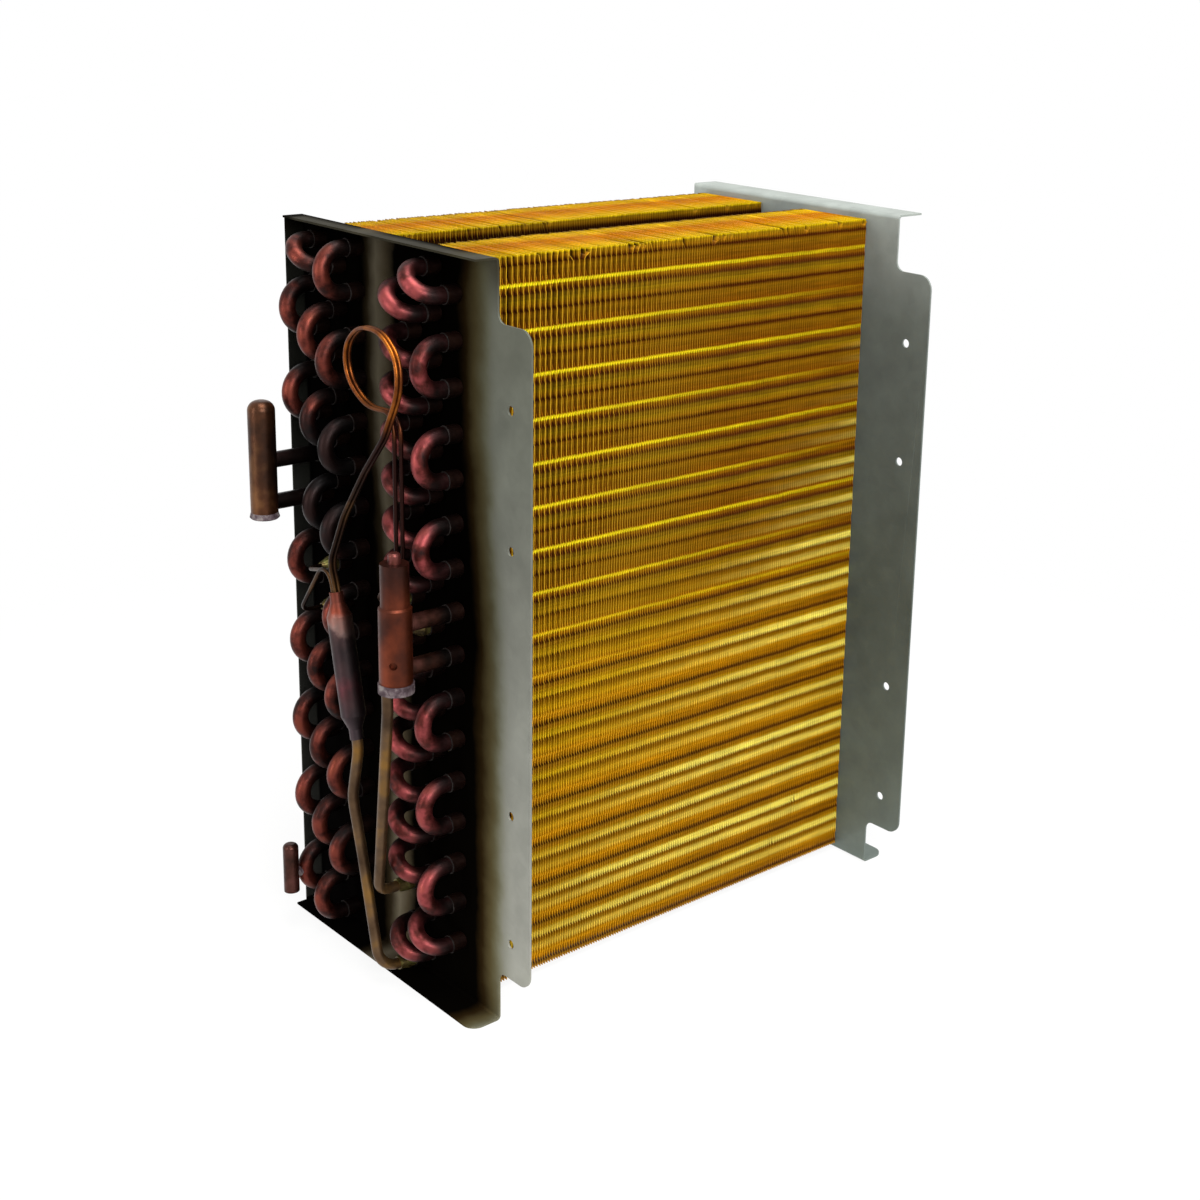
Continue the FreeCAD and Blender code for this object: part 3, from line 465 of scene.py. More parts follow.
# %% [markdown]
# ## Two slabs
#
# Now 160 copies are set side by side, 1.905 mm apart. They go into one mesh a slab, because 160
# objects would each need a name and a finish, and every point is moved as its own fin's bends say.

# %% Stack the fins into two slabs
FIN_COUNT = 160
FIN_STEP = FIN_LENGTH / FIN_COUNT
# The first and the last fin keep this far from the sheets.
END_ROOM = 0.9 * MM
# The part of a fin's height that curls at the top, and how far a bent corner sinks for its bend.
CURL_HEIGHT = 0.3 * PITCH
CORNER_SINKS = 0.7


def stack_fins(name, pattern, start, seed, teeth, dents=()):
    """A slab of fins. teeth scales how far every second one stands back."""
    chance = random.Random(seed)
    shape = bmesh.new()
    for number in range(FIN_COUNT):
        before = len(shape.verts)
        shape.from_mesh(pattern)
        shape.verts.ensure_lookup_table()
        base = FIN_START + (number + 0.5) * FIN_STEP
        base = min(max(base, FIN_START + END_ROOM), FIN_START + FIN_LENGTH - END_ROOM)
        along_slab = number / FIN_COUNT
        bends = draw_bends(chance, along_slab)
        stands = bends["stands"] * teeth * (number % 2)
        for vert in shape.verts[before:]:
            x, y, z = vert.co
            front = y < start + SLAB_DEPTH / 2
            x += base + bends["shift"] + bends["lean_front" if front else "lean_rear"]
            inward = bends["recess"] + stands * set_back(z, along_slab)
            y += inward if front else -inward
            near_top = max(0.0, (z - (FIN_TOP - CURL_HEIGHT)) / CURL_HEIGHT)
            x += bends["curl"] * near_top ** 2
            z -= bends["drop"] * near_top
            if front:
                x += bends["corner"] * near_top ** 2
                z -= CORNER_SINKS * abs(bends["corner"]) * near_top
                x = dent(x, z, dents)
            vert.co = (x, y, z)
    return make_piece(name, shape)


front_fins = stack_fins("front_fins", fins["front"], 0.0, 4, 1.0, DENTS)
rear_fins = stack_fins("rear_fins", fins["rear"], REAR_SLAB, 9, 0.3)
for slab, node in ((front_fins, "fin_pack_front"), (rear_fins, "fin_pack_rear")):
    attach(slab, "root")
    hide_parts(node)
    print(slab.name, len(slab.data.polygons) * 2, "triangles")

# %% [markdown]
# ## Gold coat of the fins
#
# The coat is a clear gold epoxy on bright foil: a satin metal. The bright lines along the
# ribs and the dark ones in the grooves are painted into its colour: painted highlight where a
# rib catches the light, painted shade where a groove loses it. The ribs repeat with the tube
# pitch, so painting each one would mean the same work seventeen times. Instead the height is cut
# into pitches: the share within one pitch says which rib a point is on, and the pitch's number
# lets each one differ a little, so that the face doesn't look printed.

# %% Find a point's place in its pitch
# How much the ribs sink for each metre along the tubes.
RIBS_SINK = 0.0025


def pitch_place(tree, place, along, high):
    """How far down its pitch a point lies, from 0 to 1, and the pitch's number from the top."""
    level = add(tree, "Math", {0: high, 1: sway(tree, place, 18, 0.6 * MM)}, operation="ADD")
    below = add(tree, "Math", {0: FIN_TOP, 1: level}, operation="SUBTRACT")
    sunk = add(tree, "Math", {0: along, 1: -RIBS_SINK, 2: below}, operation="MULTIPLY_ADD")
    turns = add(tree, "Math", {0: sunk, 1: PITCH}, operation="DIVIDE")
    share = add(tree, "Math", {0: turns}, operation="FRACT")
    return share, add(tree, "Math", {0: turns}, operation="FLOOR")


print("the ribs sink by", round(RIBS_SINK * FIN_LENGTH / MM, 2), "mm over the slab")

# %% [markdown]
# ## Painted light and shade of the ribs
#
# A ramp over one pitch paints each rib and groove with its light and shade: painted highlight
# where a rib catches the light, painted shade in a groove. Low down the painted bands are paler
# and broader, so a second ramp takes over there. The rib that stands proudest gets a painted
# highlight, a yellow line. It dulls toward the far end, and every second line does so sooner.

# %% Paint the light and shade of the ribs
# From the top of a pitch: the share of the pitch and the tone. The tones are the painted light
# and shade of the ribs and grooves.
UPPER_RIB_LIGHT_AND_SHADE = (
    (0.00, "#A0800A"), (0.13, "#A26E0C"), (0.205, "#602E06"), (0.235, "#522406"),
    (0.28, "#8C5C0A"), (0.34, "#966A0A"), (0.44, "#8A5A08"), (0.605, "#8E5406"),
    (0.64, "#FFEC1A"), (0.685, "#FFF01E"), (0.715, "#B07C05"), (0.77, "#925808"),
    (0.83, "#70390E"), (0.87, "#5C310E"), (0.93, "#8A680E"),
)
LOWER_RIB_LIGHT_AND_SHADE = (
    (0.00, "#BC9008"), (0.07, "#BA8E06"), (0.10, "#DAB412"), (0.17, "#E2B816"),
    (0.20, "#B4840C"), (0.235, "#8E5C06"), (0.28, "#8A5A04"), (0.39, "#B88808"),
    (0.44, "#D2A40C"), (0.51, "#D8A60E"), (0.56, "#C8900A"), (0.73, "#CE8E06"),
    (0.79, "#A46A08"), (0.84, "#62380A"), (0.88, "#5E360A"), (0.92, "#A8740C"),
)
# The heights between which the lower ramp takes over.
TAKES_OVER = {"From Min": 0.27, "From Max": 0.16}
# Where the yellow line of painted highlight lies, the tone that it dulls to and how far along
# it does.
LINE = ((0.58, "#000000"), (0.63, "#FFFFFF"), (0.73, "#FFFFFF"), (0.78, "#000000"))
DULLED_HIGHLIGHT = "#8E5A06"
DULLS = {"From Min": 0.07, "From Max": 0.31, "To Max": 0.62}
ODD_LINE_SOONER = 0.6


def paint_rib_light_and_shade(tree, share, high):
    """Painted light and shade: the upper face's ramp, and low down that of the lower one."""
    upper = add(tree, "ValToRGB", {"Fac": share}, stops=UPPER_RIB_LIGHT_AND_SHADE)
    lower = add(tree, "ValToRGB", {"Fac": share}, stops=LOWER_RIB_LIGHT_AND_SHADE)
    lowered = add(tree, "MapRange", {"Value": high, **TAKES_OVER}, **SMOOTH)
    return add(tree, "MixRGB", {"Fac": lowered, "Color1": upper, "Color2": lower})


def dull_painted_highlight(tree, ribs, share, number, along):
    """The yellow line's painted highlight fades along the tubes, every second one sooner."""
    odd = add(tree, "Math", {0: number, 1: 2.0}, operation="FLOORED_MODULO")
    line = add(tree, "ValToRGB", {"Fac": share}, stops=LINE)
    far = add(tree, "MapRange", {"Value": along, **DULLS})
    sooner = add(tree, "Math", {0: odd, 1: ODD_LINE_SOONER, 2: 1.0}, operation="MULTIPLY_ADD")
    fading = add(tree, "Math", {0: far, 1: sooner}, operation="MULTIPLY")
    faded = add(tree, "Math", {0: fading, 1: line}, operation="MULTIPLY")
    return add(tree, "MixRGB", {"Fac": faded, "Color1": ribs, "Color2": DULLED_HIGHLIGHT})


print(len(UPPER_RIB_LIGHT_AND_SHADE), "tones for the upper ribs and", len(LOWER_RIB_LIGHT_AND_SHADE), "for the lower ones")

# %% [markdown]
# ## Painted highlights and streaks
#
# Toward the lower far corner the face gets painted highlights: pale bands along two bands of
# each pitch, where they catch the light, growing toward that corner. A plain mix would light all
# pitches alike, so each has its own share of luck. Fine streaks run along the tubes, where the
# edges have slid over a bench. Real ones are some 0.2 mm wide; they are drawn at 1.3 mm, the
# finest that shows at this distance.

# %% Paint highlights on the coat and streak it
CORNER_HIGHLIGHT_BANDS = (
    (0.03, "#000000"), (0.09, "#FFFFFF"), (0.18, "#FFFFFF"), (0.25, "#000000"),
    (0.34, "#000000"), (0.43, "#C4C4C4"), (0.52, "#C4C4C4"), (0.57, "#000000"),
)
# The pale tone of the painted highlight.
PALE_HIGHLIGHT = "#FFEE6C"
# The painted highlight goes by a sum: the distance along, less most of the height. It grows
# between two such sums.
LESS_HEIGHT, ADDED = -0.95, 0.13
CORNER_HIGHLIGHT_GROWS = {"From Min": 0.07, "From Max": 0.27}
# How much more or less than its neighbours a pitch gets of the painted highlight.
LUCK = {"To Min": 0.5, "To Max": 1.4}
# A streak is drawn out along the tubes to some seventeen times its width.
STRETCH = (0.06, 1.0, 1.0)


def paint_corner_highlights(tree, place, lined, share, number, along, high):
    """Painted highlights: pale bands that grow toward the lower far corner of the face."""
    own = add(tree, "TexWhiteNoise", {"W": number}, noise_dimensions="1D").outputs["Value"]
    luck = add(tree, "MapRange", {"Value": own, **LUCK})
    bands = add(tree, "ValToRGB", {"Fac": share}, stops=CORNER_HIGHLIGHT_BANDS)
    lower = add(tree, "Math", {0: high, 1: LESS_HEIGHT, 2: ADDED}, operation="MULTIPLY_ADD")
    corner = add(tree, "Math", {0: along, 1: lower}, operation="ADD")
    reach = add(tree, "Math", {0: corner, 1: sway(tree, place, 60, 40 * MM)}, operation="ADD")
    toward_lit_corner = add(tree, "MapRange", {"Value": reach, **CORNER_HIGHLIGHT_GROWS}, **SMOOTH)
    banded_highlight = add(tree, "Math", {0: bands, 1: luck}, operation="MULTIPLY")
    pale = add(tree, "Math", {0: banded_highlight, 1: toward_lit_corner}, operation="MULTIPLY", use_clamp=True)
    return add(tree, "MixRGB", {"Fac": pale, "Color1": lined, "Color2": PALE_HIGHLIGHT})


def foil_shade(tree, place):
    """Lighter and darker than the coat's own tone, by streaks and by clouds of 34 mm."""
    drawn = add(tree, "VectorMath", {0: place, 1: STRETCH}, operation="MULTIPLY")
    streaks = mottle(tree, drawn, 1.3, least=0.7, most=1.28, spread=SPREAD)
    clouds = mottle(tree, place, 34, least=0.9, most=1.08, spread=SPREAD)
    return add(tree, "Math", {0: streaks, 1: clouds}, operation="MULTIPLY")


print("streaks are drawn out", round(STRETCH[1] / STRETCH[0], 1), "times")

# %% [markdown]
# ## Painted shade in the gaps, and cut edges
#
# Between two real fins the light is lost within some millimetres, on collars and dust. Clean foil
# would let it bounce deeper, so painted shade darkens the coat with the distance inside the slab.
# The faces that the slabs turn to each other get painted shade as well, apart from their upper
# rim. Where the foil was cut, its outermost half millimetre is brighter, above all beside the
# bends: partly the bare foil of the cut and partly painted glints.

# %% Paint shade into the gaps and brighten the cut edges
# The painted shade of the gaps.
PAINTED_GAP_SHADE = "#240C04"
# The cut edge's tone: bare foil and painted glint together.
CUT_EDGE_AND_GLINT = "#D8AA28"
# The middle between the slabs, and how far the painted shade between them reaches each way.
BETWEEN_SLABS = (SLAB_DEPTH + REAR_SLAB) / 2
BETWEEN_REACH = 24 * MM
# How much painted shade is left between the slabs, by height: little at their upper rim.
RIM = {"From Min": FIN_TOP - 7 * MM, "From Max": FIN_TOP - 3 * MM, "To Min": 0.95, "To Max": 0.25}
# How the painted shade grows with the distance inside a slab.
GAP_SHADE_GROWS = {"From Min": 1.2 * MM, "From Max": 4.0 * MM, "To Max": 0.95}
# How the cut edge's brightness, part bare foil and part painted glint, goes with the distance
# inside, along the tubes and with height.
CUT_INSIDE = {"From Min": 0.15 * MM, "From Max": 0.5 * MM, "To Min": 0.7, "To Max": 0.0}
CUT_ALONG = {"From Min": 0.06, "From Max": 0.2, "To Min": 1.0, "To Max": 0.0}
CUT_UPWARD = {"From Min": 0.08, "From Max": 0.3, "To Min": 0.35, "To Max": 1.0}


def slab_depths(tree, deep):
    """How far behind its slab's front face a point lies, and how far inside the nearer face."""
    within = add(tree, "Math", {0: deep, 1: REAR_SLAB}, operation="FLOORED_MODULO")
    off_middle = add(tree, "Math", {0: within, 1: SLAB_DEPTH / 2}, operation="SUBTRACT")
    off_middle = add(tree, "Math", {0: off_middle}, operation="ABSOLUTE")
    return within, add(tree, "Math", {0: SLAB_DEPTH / 2, 1: off_middle}, operation="SUBTRACT")


def cut_edges_and_glints(tree, face, inside, along, high):
    """Cut edge, part bare foil, part painted glint: strongest at the top and beside the bends."""
    cut = add(tree, "MapRange", {"Value": inside, **CUT_INSIDE})
    bend_side = add(tree, "MapRange", {"Value": along, **CUT_ALONG})
    upward = add(tree, "MapRange", {"Value": high, **CUT_UPWARD})
    cut_and_glint = add(tree, "Math", {0: cut, 1: upward}, operation="MULTIPLY")
    cut_and_glint = add(tree, "Math", {0: cut_and_glint, 1: bend_side}, operation="MULTIPLY")
    return add(tree, "MixRGB", {"Fac": cut_and_glint, "Color1": face, "Color2": CUT_EDGE_AND_GLINT})


def paint_gap_shade(tree, edged, inside, deep, high):
    """Painted shade inside a slab, and between the slabs but for their rim."""
    gap = add(tree, "MapRange", {"Value": inside, **GAP_SHADE_GROWS})
    between = add(tree, "Math", {0: deep, 1: BETWEEN_SLABS, 2: BETWEEN_REACH}, operation="COMPARE")
    rim = add(tree, "MapRange", {"Value": high, **RIM})
    shade_between_slabs = add(tree, "Math", {0: between, 1: rim}, operation="MULTIPLY")
    painted_shade = add(tree, "Math", {0: gap, 1: shade_between_slabs}, operation="MAXIMUM")
    return add(tree, "MixRGB", {"Fac": painted_shade, "Color1": edged, "Color2": PAINTED_GAP_SHADE})


print("dark between the slabs over", round(2 * BETWEEN_REACH / MM), "mm")

# %% [markdown]
# ## Top of the slabs
#
# Seen from above, the tube rows show as broad bands across the depth, because light falls between
# the fins. A ramp over the depth paints these bands of light and shade, and takes over in the
# uppermost millimetre. With it the coat is whole: each step above is mixed into the one before.

# %% Mix the gold coat
# From the front to the back of a slab: the share of its depth and the tone. The tones are
# painted light and shade.
TOP_BANDS = (
    (0.02, "#DCBA0C"), (0.2, "#E0AC06"), (0.42, "#D88C04"), (0.62, "#CC7C03"),
    (0.76, "#DCA806"), (0.92, "#DCB008"), (0.98, "#7A540A"),
)
ON_TOP = {"From Min": FIN_TOP - 1.6 * MM, "From Max": FIN_TOP - 0.6 * MM}


def light_top(tree, dark, within, high, shade):
    across = add(tree, "Math", {0: within, 1: SLAB_DEPTH}, operation="DIVIDE")
    bands = add(tree, "ValToRGB", {"Fac": across}, stops=TOP_BANDS)
    toned = add(
        tree, "MixRGB", {"Fac": 1.0, "Color1": bands, "Color2": shade}, blend_type="MULTIPLY"
    )
    on_top = add(tree, "MapRange", {"Value": high, **ON_TOP})
    return add(tree, "MixRGB", {"Fac": on_top, "Color1": dark, "Color2": toned})


def gold_coat():
    """Gold epoxy on rolled foil: a weak metal, because the coat scatters most of the light."""
    material, tree, shader, place = start_finish("gold_coated_foil", metallic=0.25, roughness=0.42)
    axes = add(tree, "SeparateXYZ", {0: place})
    along, deep, high = axes.outputs["X"], axes.outputs["Y"], axes.outputs["Z"]
    share, number = pitch_place(tree, place, along, high)
    ribs = paint_rib_light_and_shade(tree, share, high)
    lined = dull_painted_highlight(tree, ribs, share, number, along)
    with_highlights = paint_corner_highlights(tree, place, lined, share, number, along, high)
    shade = foil_shade(tree, place)
    face = add(
        tree, "MixRGB", {"Fac": 1.0, "Color1": with_highlights, "Color2": shade}, blend_type="MULTIPLY"
    )
    within, inside = slab_depths(tree, deep)
    edged = cut_edges_and_glints(tree, face, inside, along, high)
    # Painted shade in the gaps and between the slabs.
    dark = paint_gap_shade(tree, edged, inside, deep, high)
    whole = light_top(tree, dark, within, high, shade)
    satin = mottle(tree, place, 1.5, least=0.28, most=0.52)
    plug(tree, shader, {"Base Color": whole, "Roughness": satin, "Specular IOR Level": 0.05})
    return material


fin_finish = gold_coat()
for slab in (front_fins, rear_fins):
    slab.data.materials.append(fin_finish)
print("fins coated with", len(fin_finish.node_tree.nodes), "nodes")

# %% [markdown]
# ## Galvanised sheets
#
# The tube sheets are hot-dip galvanised steel, folded to stiffen them. Zinc freezes in crystals
# some 8 mm across, which a Voronoi pattern gives, and dulls in clouds as it weathers. One flat
# grey would look painted, so the tone also runs with the height, as painted light and shade on an
# upright sheet.

# %% Mix the zinc
SHEET_TOP = 441 * MM
# Weathered zinc is no longer a full metal: its skin is part oxide.
ZINC_METALLIC = 0.55


def zinc(name, tones, roughness):
    """Dulled zinc. tones are (share of the height, hex): painted light and shade by height."""
    material, tree, shader, place = start_finish(name, ZINC_METALLIC, roughness)
    high = add(tree, "SeparateXYZ", {0: place}).outputs["Z"]
    rise = add(tree, "MapRange", {"Value": high, "From Max": SHEET_TOP})
    # The tone by height: painted light and shade.
    base = add(tree, "ValToRGB", {"Fac": rise}, stops=tones)
    crystals = add(tree, "TexVoronoi", {"Vector": place, "Scale": 1 / (8 * MM)})
    grey = add(tree, "RGBToBW", {0: crystals.outputs["Color"]})
    spangle = add(tree, "MapRange", {"Value": grey, "To Min": 0.96, "To Max": 1.04})
    clouds = mottle(tree, place, 26, least=0.86, most=1.1, spread=SPREAD)
    shade = add(tree, "Math", {0: spangle, 1: clouds}, operation="MULTIPLY")
    toned = add(
        tree, "MixRGB", {"Fac": 1.0, "Color1": base, "Color2": shade}, blend_type="MULTIPLY"
    )
    dull = mottle(tree, place, 5, least=roughness - 0.1, most=roughness + 0.12)
    plug(tree, shader, {"Base Color": toned, "Roughness": dull})
    roughen(tree, place, shader, 2.5, strength=0.12, depth_mm=0.2)
    return material


# Its tones by height are painted light and shade.
right_finish = zinc(
    "dull_zinc", ((0.0, "#6E7871"), (0.4, "#565E58"), (0.85, "#686F69"), (1.0, "#979D97")), 0.55
)
print("mixed", right_finish.name)

# %% [markdown]
# ## Scorched and shaded sheet
#
# Round the joints the left sheet is near black, with an olive strip between the slabs, while the
# flap in front stays clean. Partly it is scorch from the torch that brazed the bends, and partly
# painted shade round the bends. A painted picture would need a map of the sheet. But the scorch
# and the shade follow the depth, so a ramp over the depth does it, with a border that wanders and
# leans back toward the top. Scorched zinc has gone to oxide, so it also loses its metal shine.

# %% Scorch and shade the left sheet
SHEET_FRONT, SHEET_REAR = -55.5 * MM, 164.7 * MM
# The scorch and painted shade by depth from the fins' front face, in millimetres.
SCORCH_AND_SHADE = (
    (-40, "#6C6D62"), (-28, "#5A5844"), (-19, "#443C26"), (-11, "#22180A"), (-4, "#040302"),
    (58, "#040302"), (66, "#40382A"), (76, "#5C5546"), (85, "#261F14"), (92, "#040302"),
    (160, "#060505"),
)
# How far scorch and shade lean back toward the top, how they darken upward, and where they start.
LEANS_BACK = {"From Min": 0.2, "From Max": 0.38, "To Max": 12 * MM}
DARKENS_UP = {"From Min": 0.05, "From Max": 0.24, "To Min": 1.05, "To Max": 0.5}
BEHIND_FLAP = {"From Min": -42 * MM, "From Max": -22 * MM}
# How much of it lies on the web, by the distance out, on the foot and on the rear flange.
ON_WEB = {"From Min": LEFT_FACE - 9 * MM, "From Max": LEFT_FACE - 1 * MM, "To Min": 0.3}
ON_FOOT = {"From Min": 3 * MM, "From Max": 12 * MM, "To Min": 1.0, "To Max": 0.0}
ON_REAR_FLANGE = {"From Min": 0.148, "From Max": 0.158, "To Max": 0.9}


def scorch_and_shade_depth(tree, place, deep, high):
    """The depth that scorch and painted shade go by: the border sways by 6 mm and leans back."""
    lean = add(tree, "MapRange", {"Value": high, **LEANS_BACK}, **SMOOTH)
    upright = add(tree, "Math", {0: deep, 1: lean}, operation="SUBTRACT")
    return add(tree, "Math", {0: upright, 1: sway(tree, place, 26, 6 * MM)}, operation="ADD")


def scorch_and_shade_tone(tree, depth, high):
    """Scorch and painted shade over the depth, half as bright in the upper half of the sheet."""
    size = (SHEET_REAR - SHEET_FRONT) / MM
    stops = tuple(((deep - SHEET_FRONT / MM) / size, code) for deep, code in SCORCH_AND_SHADE)
    share = add(
        tree, "MapRange", {"Value": depth, "From Min": SHEET_FRONT, "From Max": SHEET_REAR}
    )
    tone = add(tree, "ValToRGB", {"Fac": share}, stops=stops)
    fade = add(tree, "MapRange", {"Value": high, **DARKENS_UP})
    return add(
        tree, "MixRGB", {"Fac": 1.0, "Color1": tone, "Color2": fade}, blend_type="MULTIPLY"
    )


def scorch_and_shade_share(tree, depth, out, deep, high):
    """Whole on the web, the foot and the rear flange, and less on what else stands out."""
    behind_flap = add(tree, "MapRange", {"Value": depth, **BEHIND_FLAP}, **SMOOTH)
    web = add(tree, "MapRange", {"Value": out, **ON_WEB})
    foot = add(tree, "MapRange", {"Value": high, **ON_FOOT})
    rear_flange = add(tree, "MapRange", {"Value": deep, **ON_REAR_FLANGE})
    where = add(tree, "Math", {0: web, 1: foot}, operation="MAXIMUM")
    where = add(tree, "Math", {0: where, 1: rear_flange}, operation="MAXIMUM")
    return add(tree, "Math", {0: behind_flap, 1: where}, operation="MULTIPLY")


def scorched_and_shaded_zinc():
    # The clean zinc by height: painted light, palest low down, and painted shade at the top
    # flange.
    clean = (
        (0.0, "#97978E"), (0.35, "#83847C"), (0.75, "#63655C"), (0.93, "#5C5E54"),
        (0.985, "#302D22"),
    )
    material = zinc("torch_browned_and_shaded_zinc", clean, 0.5)
    tree, shader, bright, place = reopen_finish(material)
    axes = add(tree, "SeparateXYZ", {0: place})
    out, deep, high = axes.outputs["X"], axes.outputs["Y"], axes.outputs["Z"]
    depth = scorch_and_shade_depth(tree, place, deep, high)
    share = scorch_and_shade_share(tree, depth, out, deep, high)
    tone = scorch_and_shade_tone(tree, depth, high)
    mixed = add(tree, "MixRGB", {"Fac": share, "Color1": bright, "Color2": tone})
    metal = add(tree, "MapRange", {"Value": share, "To Min": ZINC_METALLIC, "To Max": 0.0})
    plug(tree, shader, {"Base Color": mixed, "Metallic": metal, "Specular IOR Level": 0.0})
    return material


left_finish = scorched_and_shaded_zinc()
print("mixed", left_finish.name)

# %% [markdown]
# ## Copper
#
# Copper is drawn bright, then goes brown in air and pink where acid flux has cleaned it. Every
# piece here was heated differently, so each has its own tones, in patches of 6 to 24 mm, with fine
# speckle and the faint unevenness of drawn tube. The pieces share one recipe, because they are
# one metal: only tones and sizes differ.

# %% Mix aged copper
# The part of the noise over which the tones spread.
FIRST_TONE, LAST_TONE = 0.32, 0.68


def copper(name, tones, roughness=0.34, patch_mm=12, metallic=0.8):
    """Aged copper, its tones from the darkest patches to the brightest."""
    material, tree, shader, place = start_finish(name, metallic, roughness)
    step = (LAST_TONE - FIRST_TONE) / (len(tones) - 1)
    stops = tuple((FIRST_TONE + step * number, code) for number, code in enumerate(tones))
    patches = add(
        tree, "TexNoise",
        {"Vector": place, "Scale": 1 / (patch_mm * MM), **CLOUDY, "Detail": 4.0},
    )
    tone = add(tree, "ValToRGB", {"Fac": patches}, stops=stops)
    speckle = mottle(tree, place, 2.2, least=roughness - 0.12, most=roughness + 0.18)
    plug(tree, shader, {"Base Color": tone, "Roughness": speckle})
    roughen(tree, place, shader, 1.6, strength=0.15, depth_mm=0.15)
    return material


finishes = {
    "nub_copper": copper("pinched_copper", ("#401E1A", "#643430", "#5A2E24"), 0.36, 6),
    "pipe_copper": copper("soft_drawn_copper", ("#372616", "#56412C", "#785624"), 0.36, 24),
    "feed_copper": copper("brass_toned_copper", ("#2E2414", "#5A4C28", "#76743E"), 0.34, 6),
}
print(len(finishes), "plain coppers mixed")

# %% [markdown]
# ## Burnt and shaded joints, and darker clouds
#
# Beside a brazed joint copper turns almost black, and there the copper also carries painted
# shade, as only the crowns of the bends catch the light. The joints all lie at the left sheet, so
# the burn and the shade go by the distance from it: full at the sheet, gone 24 or 30 mm out, with
# an uneven border, and fading again inside the fins, where the flame never came. Painted shade
# also lies in clouds beside the rear header's stubs and behind that header, and a darker cloud
# over the front one; a distance from one point gives such a cloud with no extra mesh.

# %% Burn and shade the joints, and darken the headers
# Burnt and shaded copper near the sheet, and the tone of the darker clouds.
BURNT_AND_SHADED_COPPER, DARK_CLOUD = "#050302", "#060404"
BURN_AND_SHADE_MOST = 0.93
# The burn and its painted shade grow over this many millimetres, and fade inside the fins.
BURN_AND_SHADE_GROWS = 14
BURN_AND_SHADE_FADES = {
    "From Min": FIN_START + 5 * MM, "From Max": FIN_START + 45 * MM, "To Min": 1.0, "To Max": 0.0,
}
# Middles of painted shade beside the rear header's two stubs and behind that header, and of a
# darker cloud over the front one.
REAR_STUBS = (-0.02, 0.1048, 0.292)
BEHIND_REAR_HEADER = (-0.005, 0.125, 0.305)
ABOVE_FRONT_HEADER = (-0.033, 0.0095, 0.285)


def burn_and_shade_joint(material, reach):
    """Burn and painted shade on copper at the left sheet, out to reach millimetres from it."""
    tree, shader, clean, place = reopen_finish(material)
    out = add(tree, "SeparateXYZ", {0: place}).outputs["X"]
    border = add(tree, "Math", {0: out, 1: sway(tree, place, 7, 3 * MM)}, operation="ADD")
    burn_and_shade = add(
        tree, "MapRange",
        {"Value": border, "From Min": LEFT_FACE - reach * MM,
         "From Max": LEFT_FACE - (reach - BURN_AND_SHADE_GROWS) * MM, "To Max": BURN_AND_SHADE_MOST},
        **SMOOTH,
    )
    near = add(tree, "MapRange", {"Value": out, **BURN_AND_SHADE_FADES})
    burn_and_shade = add(tree, "Math", {0: burn_and_shade, 1: near}, operation="MULTIPLY")
    mixed = add(tree, "MixRGB", {"Fac": burn_and_shade, "Color1": clean, "Color2": BURNT_AND_SHADED_COPPER})
    plug(tree, shader, {"Base Color": mixed})
    return material


def darken_round(material, middle, near, far, most):
    """Darkens a finish: most within near millimetres of the middle, none beyond far."""
    tree, shader, clean, place = reopen_finish(material)
    off = add(tree, "VectorMath", {0: place, 1: middle}, operation="DISTANCE").outputs["Value"]
    share = add(
        tree, "MapRange",
        {"Value": off, "From Min": near * MM, "From Max": far * MM, "To Min": most, "To Max": 0.0},
        **SMOOTH,
    )
    mixed = add(tree, "MixRGB", {"Fac": share, "Color1": clean, "Color2": DARK_CLOUD})
    plug(tree, shader, {"Base Color": mixed})
    return material


hairpins = copper("dull_drawn_copper", ("#40201A", "#6C3A2C", "#8A523E"))
stubs = copper("browned_copper", ("#1E0E08", "#3A1E16", "#54302A"))
front_header = copper("heat_stained_copper", ("#341409", "#50210F", "#6C301A"), 0.38, 22)
rear_header = copper("brown_tube_copper", ("#281508", "#4A2A16", "#6A4628"), 0.34, 18)
finishes["hairpin_copper"] = burn_and_shade_joint(hairpins, 24)
# Painted shade beside the rear header's stubs.
finishes["stub_copper"] = darken_round(burn_and_shade_joint(stubs, 24), REAR_STUBS, 50, 80, 0.85)
finishes["front_header_copper"] = darken_round(front_header, ABOVE_FRONT_HEADER, 14, 40, 0.65)
# Painted shade on the rear header, behind it.
finishes["rear_header_copper"] = darken_round(rear_header, BEHIND_REAR_HEADER, 26, 50, 0.85)
print(len(finishes), "coppers mixed so far")

# %% [markdown]
# ## Return bends
#
# The bends are short elbows, heated at both ends. On the front slab the flux cleaned them to a
# dusty pink; on the rear one they stayed browner. Two materials would leave a step where a bend
# crosses between rows, so one is tinted by its depth.

# %% Mix the bends' copper
# The tint on the front slab and on the rear one, and the depths between which it changes.
BEND_TINTS = ((0.0, "#FFDAE8"), (1.0, "#C8AC92"))
TINT_CHANGES = {"From Min": 50 * MM, "From Max": 95 * MM}


